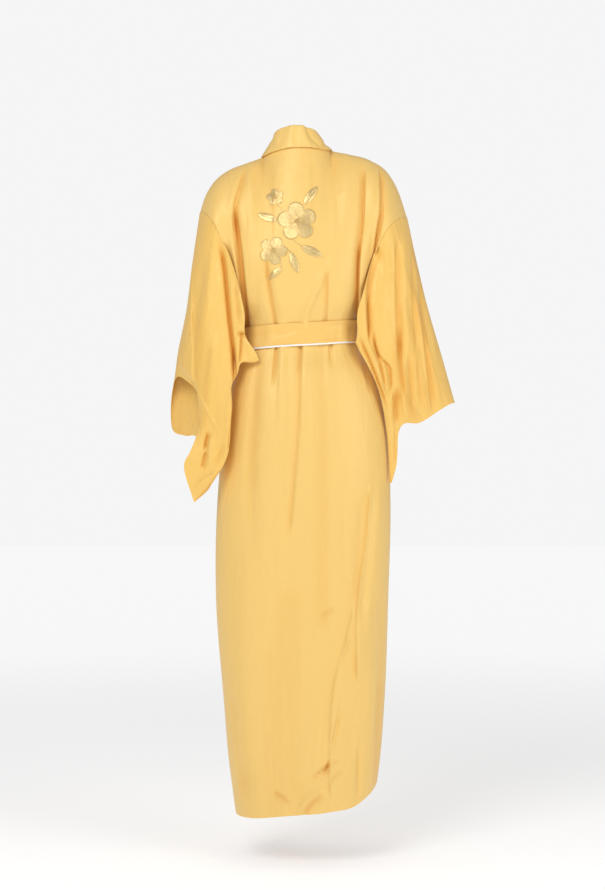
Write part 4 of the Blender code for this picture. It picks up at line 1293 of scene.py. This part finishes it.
def addPiping(name, node, points, closed):
    curve = bpy.data.curves.new(name, "CURVE")
    curve.dimensions = "3D"
    curve.bevel_depth = belt["pipingRadius"]
    curve.bevel_resolution = 3
    curve.use_fill_caps = not closed
    spline = curve.splines.new("POLY")
    spline.points.add(len(points) - 1)
    for place, point in zip(spline.points, points.tolist()):
        place.co = (*point, 1)
    spline.use_cyclic_u = closed
    curve.materials.append(materials["cord"])
    piece = bpy.data.objects.new(name, curve)
    bpy.context.scene.collection.objects.link(piece)
    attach(piece, "root")
    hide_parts(node)


def knotCentre():
    return beltPoint(np.array([knot["angle"]]), 0.0, belt["lift"] + belt["seamGap"] + knot["size"][1] / 2)[0]


def knotPinch(across):
    return 1 - knot["pinch"] * bell(across / knot["size"][0], knot["pinchWidth"])


def knotUnderside(across, out):
    power = 2 / knot["square"]
    roundPart = abs(2 * across / knot["size"][0]) ** power + abs(2 * out / knot["size"][1]) ** power
    height = np.maximum(1 - roundPart, 0) ** (1 / power) * knot["size"][2] / 2
    return height * knotPinch(across)


def addKnot(centre):
    # the belt's fold over itself: a rounded block with pleats running into the pinch
    bm = startCloth()
    around, down = knot["segments"]
    made = bmesh.ops.create_uvsphere(bm, u_segments=around, v_segments=down, radius=0.5, calc_uvs=True)
    for vert in made["verts"]:
        place = Vector(math.copysign(abs(2 * c) ** knot["square"], c) / 2 for c in vert.co)
        place.z *= knotPinch(place.x * knot["size"][0])
        turn = math.atan2(place.z, place.x)
        spread = min(1.0, math.hypot(place.x, place.z) * knot["pleatStart"])
        pleat = 1 + knot["pleatRise"] * math.sin(turn * knot["pleats"] + 2 * place.x) * spread
        wrap = 1 - knot["wrapDip"] * bell(abs(place.x) - knot["wrapPlace"], knot["wrapWidth"])
        vert.co = place * Vector(knot["size"]) * Vector((pleat, wrap, pleat)) + Vector(centre)
    piece = addPiece("beltKnot", bm, "belt", "belt_knot")


def beltEndPoints(side, centre):
    rows, columns = beltEnd["steps"]
    down = np.linspace(0, 1, rows)[:, None]
    across = np.linspace(-0.5, 0.5, columns)[None, :]
    level = beltMiddle(knot["angle"]) + knot["size"][2] / 2 + down * beltEnd["length"]
    lean = side * (beltEnd["topLean"] + beltEnd["lean"] * down)
    widened = (beltEnd["degrees"] - beltEnd["topDegrees"]) * ramp(down, 0, beltEnd["widenBy"])
    angle = knot["angle"] - lean + across * (beltEnd["topDegrees"] + widened) * (1 - beltEnd["taper"] * down)
    fallen, fallenBy = beltEnd["fallBack"]
    swayed, swayTurns = beltEnd["sway"]
    off = belt["lift"] + knot["size"][1] / 2 - side * beltEnd["apart"]
    off = off - fallen * ramp(down, 0, fallenBy) + swayed * np.sin(down * swayTurns)
    rise, turns, smoothBy = beltEnd["gathers"]
    off = off + rise * np.cos(across * turns + side) * (1 - ramp(down, 0, smoothBy))
    rise, acrossTurns, downTurns = beltEnd["ripples"]
    ripple = np.sin(across * acrossTurns + down * downTurns + side)
    off = off + rise * ripple * ramp(down, *beltEnd["ripplesFrom"])
    points = bodyCloth(level, angle, robe["lap"] + collar["lift"] + off)
    fromCentre = points[0] - centre
    hung = -knotUnderside(fromCentre[:, 0], fromCentre[:, 1]) - beltEnd["topGap"]
    points[..., 2] += (hung - fromCentre[:, 2]) * (1 - ramp(down, 0, beltEnd["hangFrom"]))
    return points


def addBeltEnd(side, centre):
    points = beltEndPoints(side, centre)
    grid = (points, np.zeros(points.shape[:2]), beltEnd["cut"])
    piece = addThinCloth(sideName("beltEnd", side), sideNode("belt_end", side), "belt", belt["thick"], grid)
    edge, inner = (points[:, 0], points[:, 1]) if side > 0 else (points[:, -1], points[:, -2])
    beside = edge + unit(edge - inner) * (belt["pipingRadius"] * 0.9)
    addPiping(sideName("pipingEnd", side), sideNode("piping_end", side), beside[::2], False)


def addBelt():
    addBeltBand()
    angles = np.linspace(0, 360, belt["pipingSteps"] + 1)[:-1]
    below = belt["height"] / 2 + belt["pipingRadius"] * 0.95
    ring = beltPoint(angles, below, belt["lift"] - belt["thick"] / 3)
    addPiping("beltPiping", "belt_piping", ring, True)
    centre = knotCentre()
    addKnot(centre)
    for side in (1, -1):
        addBeltEnd(side, centre)


addBelt()
print("belt made")

# embroidery

spray = {
    "centre": (0.022, -0.197),
    "netAcross": (-0.075, 0.115, 96),
    "netUp": (-0.33, -0.07, 131),
    "standOff": 0.0003,
    "edge": -0.0006,
    "threadRise": 0.00035,
    "threadSharpness": 0.7,
    "weld": 1e-6,
}
petal = {
    "count": 5,
    "threads": 34,
    "threadsAt": 0.043,
    "threadPoints": 4,
    "notch": 0.60,
    "uneven": 0.012,
    "rings": 16,
    "heart": (0.5, 0.3),
    "sideThick": 0.45,
    "endFall": 0.55,
}
bead = {
    "radius": 0.0016,
    "segments": (10, 7),
    "largeFrom": 0.025,
    "counts": (7, 13),
    "ring": 0.0028,
    "turn": 2.4,
    "rise": (1.45, 0.0004, 0.0003),
}
leaf = {
    "thick": 0.0024,
    "steps": (97, 25),
    "bluntness": 0.72,
    "threadWidth": 0.0011,
    "threadSlant": 0.8,
    "sideFall": 0.6,
    "tipThick": 0.35,
    "midrib": (0.0009, 0.0007),
    "smoothMiddle": 0.08,
}
stem = {"radius": 0.0012, "steps": 44, "around": 9, "sink": 0.0004, "twist": (0.0003, 0.0022, 0.5)}
blossoms = table(
    ("across", "up", "radius", "turn", "thick"),
    (-0.018, 0.028, 0.043, 12, 0.0032),
    (0.034, -0.036, 0.031, 40, 0.0028),
    (0.030, 0.083, 0.019, 80, 0.0024),
)
leaves = table(
    ("across", "up", "length", "width", "turn"),
    (-0.048, 0.086, 0.050, 0.018, 125),
    (0.046, 0.038, 0.046, 0.018, 20),
    (-0.050, -0.038, 0.052, 0.020, 205),
    (-0.012, -0.062, 0.050, 0.018, 250),
    (0.030, -0.086, 0.040, 0.015, 320),
)
stems = [
    [(0.026, 0.066), (0.020, 0.058), (0.006, 0.052)],
    [(-0.036, 0.068), (-0.030, 0.060), (-0.026, 0.056)],
    [(0.022, 0.028), (0.026, 0.031), (0.030, 0.034)],
    [(-0.028, -0.026), (-0.018, -0.020), (-0.008, -0.012)],
    [(-0.004, -0.040), (0.004, -0.030), (0.012, -0.026)],
    [(0.020, -0.078), (0.012, -0.070), (0.020, -0.058)],
]


class BackOfRobe:
    # where the cloth of the back lies, read once on a fine net
    def __init__(self, pieces):
        bm = bmesh.new()
        for piece in pieces:
            bm.from_mesh(piece.data)
        tree = BVHTree.FromBMesh(bm)
        bm.free()
        self.xs = np.linspace(*spray["netAcross"])
        self.zs = np.linspace(*spray["netUp"])
        self.depth = np.empty((len(self.zs), len(self.xs)))
        for i, z in enumerate(self.zs):
            for j, x in enumerate(self.xs):
                self.depth[i, j] = tree.ray_cast(Vector((x, 1.0, z)), Vector((0, -1, 0)))[0].y

    def points(self, across, up, height):
        x = spray["centre"][0] + across
        z = spray["centre"][1] + up
        i = np.clip((z - self.zs[0]) / (self.zs[1] - self.zs[0]), 0, len(self.zs) - 1.001)
        j = np.clip((x - self.xs[0]) / (self.xs[1] - self.xs[0]), 0, len(self.xs) - 1.001)
        low, left = i.astype(int), j.astype(int)
        s, t = i - low, j - left
        y = (self.depth[low, left] * (1 - t) + self.depth[low, left + 1] * t) * (1 - s)
        y += (self.depth[low + 1, left] * (1 - t) + self.depth[low + 1, left + 1] * t) * s
        return np.stack([x, y + height, z], axis=-1)


def threadRidge(phase):
    return spray["threadRise"] * np.abs(np.cos(phase * math.pi)) ** spray["threadSharpness"]


def layThreads(bm, points):
    rows, columns = points.shape[:2]
    made = bmesh.ops.create_grid(bm, x_segments=columns - 1, y_segments=rows - 1, size=0.5)
    for vert, place in zip(made["verts"], points.reshape(-1, 3).tolist()):
        vert.co = place


def addStitched(name, bm, *nodes):
    bmesh.ops.remove_doubles(bm, verts=bm.verts, dist=spray["weld"])
    bmesh.ops.recalc_face_normals(bm, faces=bm.faces)
    addPiece(name, bm, "gold", *nodes)


def addBeads(bm, back, across, up, radius, thick):
    # knots of thread at the blossom's middle: one, four round it, then the others further out
    onThick, rise, fall = bead["rise"]
    around, down = bead["segments"]
    few, many = bead["counts"]
    for i in range(many if radius > bead["largeFrom"] else few):
        ring = min(i, 1) + (i > 4)
        turn = max(i - 1, 0) * bead["turn"]
        away = ring * bead["ring"]
        height = np.array([thick * onThick + rise - fall * ring])
        middle = back.points(across + away * np.cos([turn]), up + away * np.sin([turn]), height)[0]
        made = bmesh.ops.create_uvsphere(bm, u_segments=around, v_segments=down, radius=bead["radius"])
        bmesh.ops.translate(bm, verts=made["verts"], vec=Vector(middle))


def addBlossom(number, back):
    across, up, radius, turn, thick = (column[number] for column in blossoms.values())
    threads = petal["count"] * int(petal["threads"] * radius / petal["threadsAt"])
    points = np.arange(threads * petal["threadPoints"] + 1)
    angles = points / points[-1] * 2 * math.pi
    lobes = np.abs(np.cos(angles * petal["count"] / 2))
    reach = radius * (petal["notch"] + (1 - petal["notch"]) * lobes**0.6)
    uneven = petal["uneven"] * np.sin(points // petal["threadPoints"] * bead["turn"])
    shares = np.append(np.linspace(0, 1, petal["rings"]), 1.0)[:, None]
    out = shares * reach * (1 + uneven * ramp(shares, 0.8, 1.0))
    heart, heartWidth = petal["heart"]
    raised = petal["sideThick"] + (1 - petal["sideThick"]) * lobes
    height = thick * (heart * bell(shares, heartWidth) + raised * (1 - petal["endFall"] * shares**2))
    ridges = threadRidge(points / petal["threadPoints"]) * ramp(shares, 0.1, 0.35)
    height = height + ridges + spray["standOff"]
    height[-1] = spray["edge"]
    angles = angles + math.radians(turn)
    cloth = back.points(across + out * np.cos(angles), up + out * np.sin(angles), height)
    cloth[:, -1] = cloth[:, 0]
    bm = bmesh.new()
    layThreads(bm, cloth)
    addBeads(bm, back, across, up, radius, thick)
    addStitched("blossom" + str(number + 1), bm, "flower_" + str(number + 1))


def addLeaf(number, back):
    across, up, length, width, turn = (column[number] for column in leaves.values())
    rows, columns = leaf["steps"]
    run = np.linspace(-1, 1, rows)[:, None]
    side = np.linspace(-1, 1, columns)[None, :]
    lengthwise = length / 2 * run
    sideways = width / 2 * np.maximum(1 - run**2, 0) ** leaf["bluntness"] * side
    phase = (lengthwise - np.abs(sideways) * leaf["threadSlant"]) / leaf["threadWidth"]
    body = leaf["tipThick"] + (1 - leaf["tipThick"]) * np.maximum(1 - run**2, 0) ** 0.5
    dome = leaf["thick"] * (1 - leaf["sideFall"] * side**2) * body
    groove, grooveWidth = leaf["midrib"]
    ridges = threadRidge(phase) * (1 - bell(side, leaf["smoothMiddle"]))
    height = spray["standOff"] + dome - groove * bell(sideways, grooveWidth) + ridges
    height[0] = height[-1] = height[:, 0] = height[:, -1] = spray["edge"]
    lean = math.radians(turn)
    x = across + lengthwise * math.cos(lean) - sideways * math.sin(lean)
    z = up + lengthwise * math.sin(lean) + sideways * math.cos(lean)
    bm = bmesh.new()
    layThreads(bm, back.points(x, z, height))
    addStitched("leaf" + str(number + 1), bm, "leaf_" + str(number + 1))


def addStems(back):
    bm = bmesh.new()
    t = np.linspace(0, 1, stem["steps"])[:, None]
    across = np.linspace(-1, 1, stem["around"])[None, :]
    rise, pitch, slant = stem["twist"]
    for path in stems:
        first, middle, last = np.array(path)
        line = first * (1 - t) ** 2 + middle * 2 * t * (1 - t) + last * t * t
        way = unit(np.gradient(line, axis=0))
        twist = np.abs(np.cos((t * np.linalg.norm(last - first) / pitch + across * slant) * math.pi))
        height = stem["radius"] * np.sqrt(np.maximum(1 - across**2, 0)) + rise * twist - stem["sink"]
        x = line[:, :1] - way[:, 1:] * across * stem["radius"]
        z = line[:, 1:] + way[:, :1] * across * stem["radius"]
        layThreads(bm, back.points(x, z, height))
    addStitched("stems", bm)


back = BackOfRobe(bodyPieces)
for number in range(len(blossoms["radius"])):
    addBlossom(number, back)
for number in range(len(leaves["length"])):
    addLeaf(number, back)
addStems(back)
print("embroidery made")

# floor, light and camera

studio = {
    "floorDrop": 1.570,
    "floorRadius": 14.0,
    "floorSegments": 64,
    "floorLook": {"Emission Strength": 1.0, "Specular IOR Level": 0.1, "Roughness": 0.8},
    "floorColour": (0.90, 0.90, 0.90),
    # the floor glows as well as taking the lamps' light: painted light, faint near the robe and full far off,
    # where the floor fades into the pale backdrop
    "floorGlow": (0.36, 0.915),
    "floorFade": (1.2, 5.0),
    "worldColour": (0.945, 0.945, 0.95),
    "seenStrength": 0.97,
    "worldStrength": 0.47,
    "lights": {
        "key": {"place": (1.2, 2.6, 1.3), "size": 1.8, "power": 45.0, "target": (0, 0, -0.6)},
        "fill": {"place": (-2.6, 2.4, 0.2), "size": 2.0, "power": 30.0, "target": (0, 0, -0.7)},
    },
}


def addFloor():
    bm = bmesh.new()
    segments, radius = studio["floorSegments"], studio["floorRadius"]
    bmesh.ops.create_circle(bm, cap_ends=True, segments=segments, radius=radius)
    bmesh.ops.translate(bm, verts=bm.verts, vec=Vector((0, 0, -studio["floorDrop"])))
    mesh = bpy.data.meshes.new("floor")
    bm.to_mesh(mesh)
    bm.free()
    material, tree, shader = newMaterial("paleFloor")
    place = newNode(tree, "TexCoord", {}).outputs["Object"]
    flat = stretched(tree, place, (1, 1, 0))
    distance = newNode(tree, "VectorMath", {0: flat}, operation="LENGTH").outputs["Value"]
    start, end = studio["floorFade"]
    values = {"Value": distance, "From Min": start, "From Max": end}
    far = newNode(tree, "MapRange", values, interpolation_type="SMOOTHSTEP").outputs[0]
    near, away = studio["floorGlow"]
    colour = mixColour(tree, far, studio["floorColour"], (0, 0, 0))
    # the glow is painted light: faint near the robe, full far off where the floor's own colour fades to black
    glow = mixColour(tree, far, (near,) * 3, (away,) * 3)
    feed(tree, shader, {"Base Color": colour, "Emission Color": glow, **studio["floorLook"]})
    mesh.materials.append(material)
    floor = bpy.data.objects.new("floor", mesh)
    bpy.context.scene.collection.objects.link(floor)


def addAreaLight(name, place, size, power, target):
    lamp = bpy.data.lights.new(name, "AREA")
    lamp.shape = "DISK"
    lamp.size = size
    lamp.energy = power
    light = bpy.data.objects.new(name, lamp)
    light.location = place
    light.rotation_euler = (Vector(target) - Vector(place)).to_track_quat("-Z", "Y").to_euler()
    bpy.context.scene.collection.objects.link(light)


def addWorld():
    # seen straight on it is paler than the light that it throws on the cloth
    world = bpy.data.worlds.new("paleStudio")
    world.use_nodes = True
    tree = world.node_tree
    path = newNode(tree, "LightPath", {}).outputs["Is Camera Ray"]
    seen = times(tree, path, studio["seenStrength"] - studio["worldStrength"])
    values = {"Color": (*studio["worldColour"], 1), "Strength": added(tree, seen, studio["worldStrength"])}
    feed(tree, tree.nodes["Background"], values)
    bpy.context.scene.world = world


def addCamera():
    lens = bpy.data.cameras.new("camera")
    lens.lens = camera["lens"]
    lens.sensor_width = camera["sensor"]
    view = bpy.data.objects.new("camera", lens)
    view.location = camera["place"]
    view.rotation_euler = (math.pi / 2, 0, math.pi)
    bpy.context.scene.collection.objects.link(view)
    bpy.context.scene.camera = view


addFloor()
for name, values in studio["lights"].items():
    addAreaLight(name, **values)
addWorld()
addCamera()
bpy.context.scene.view_settings.view_transform = "Standard"
print("studio ready")
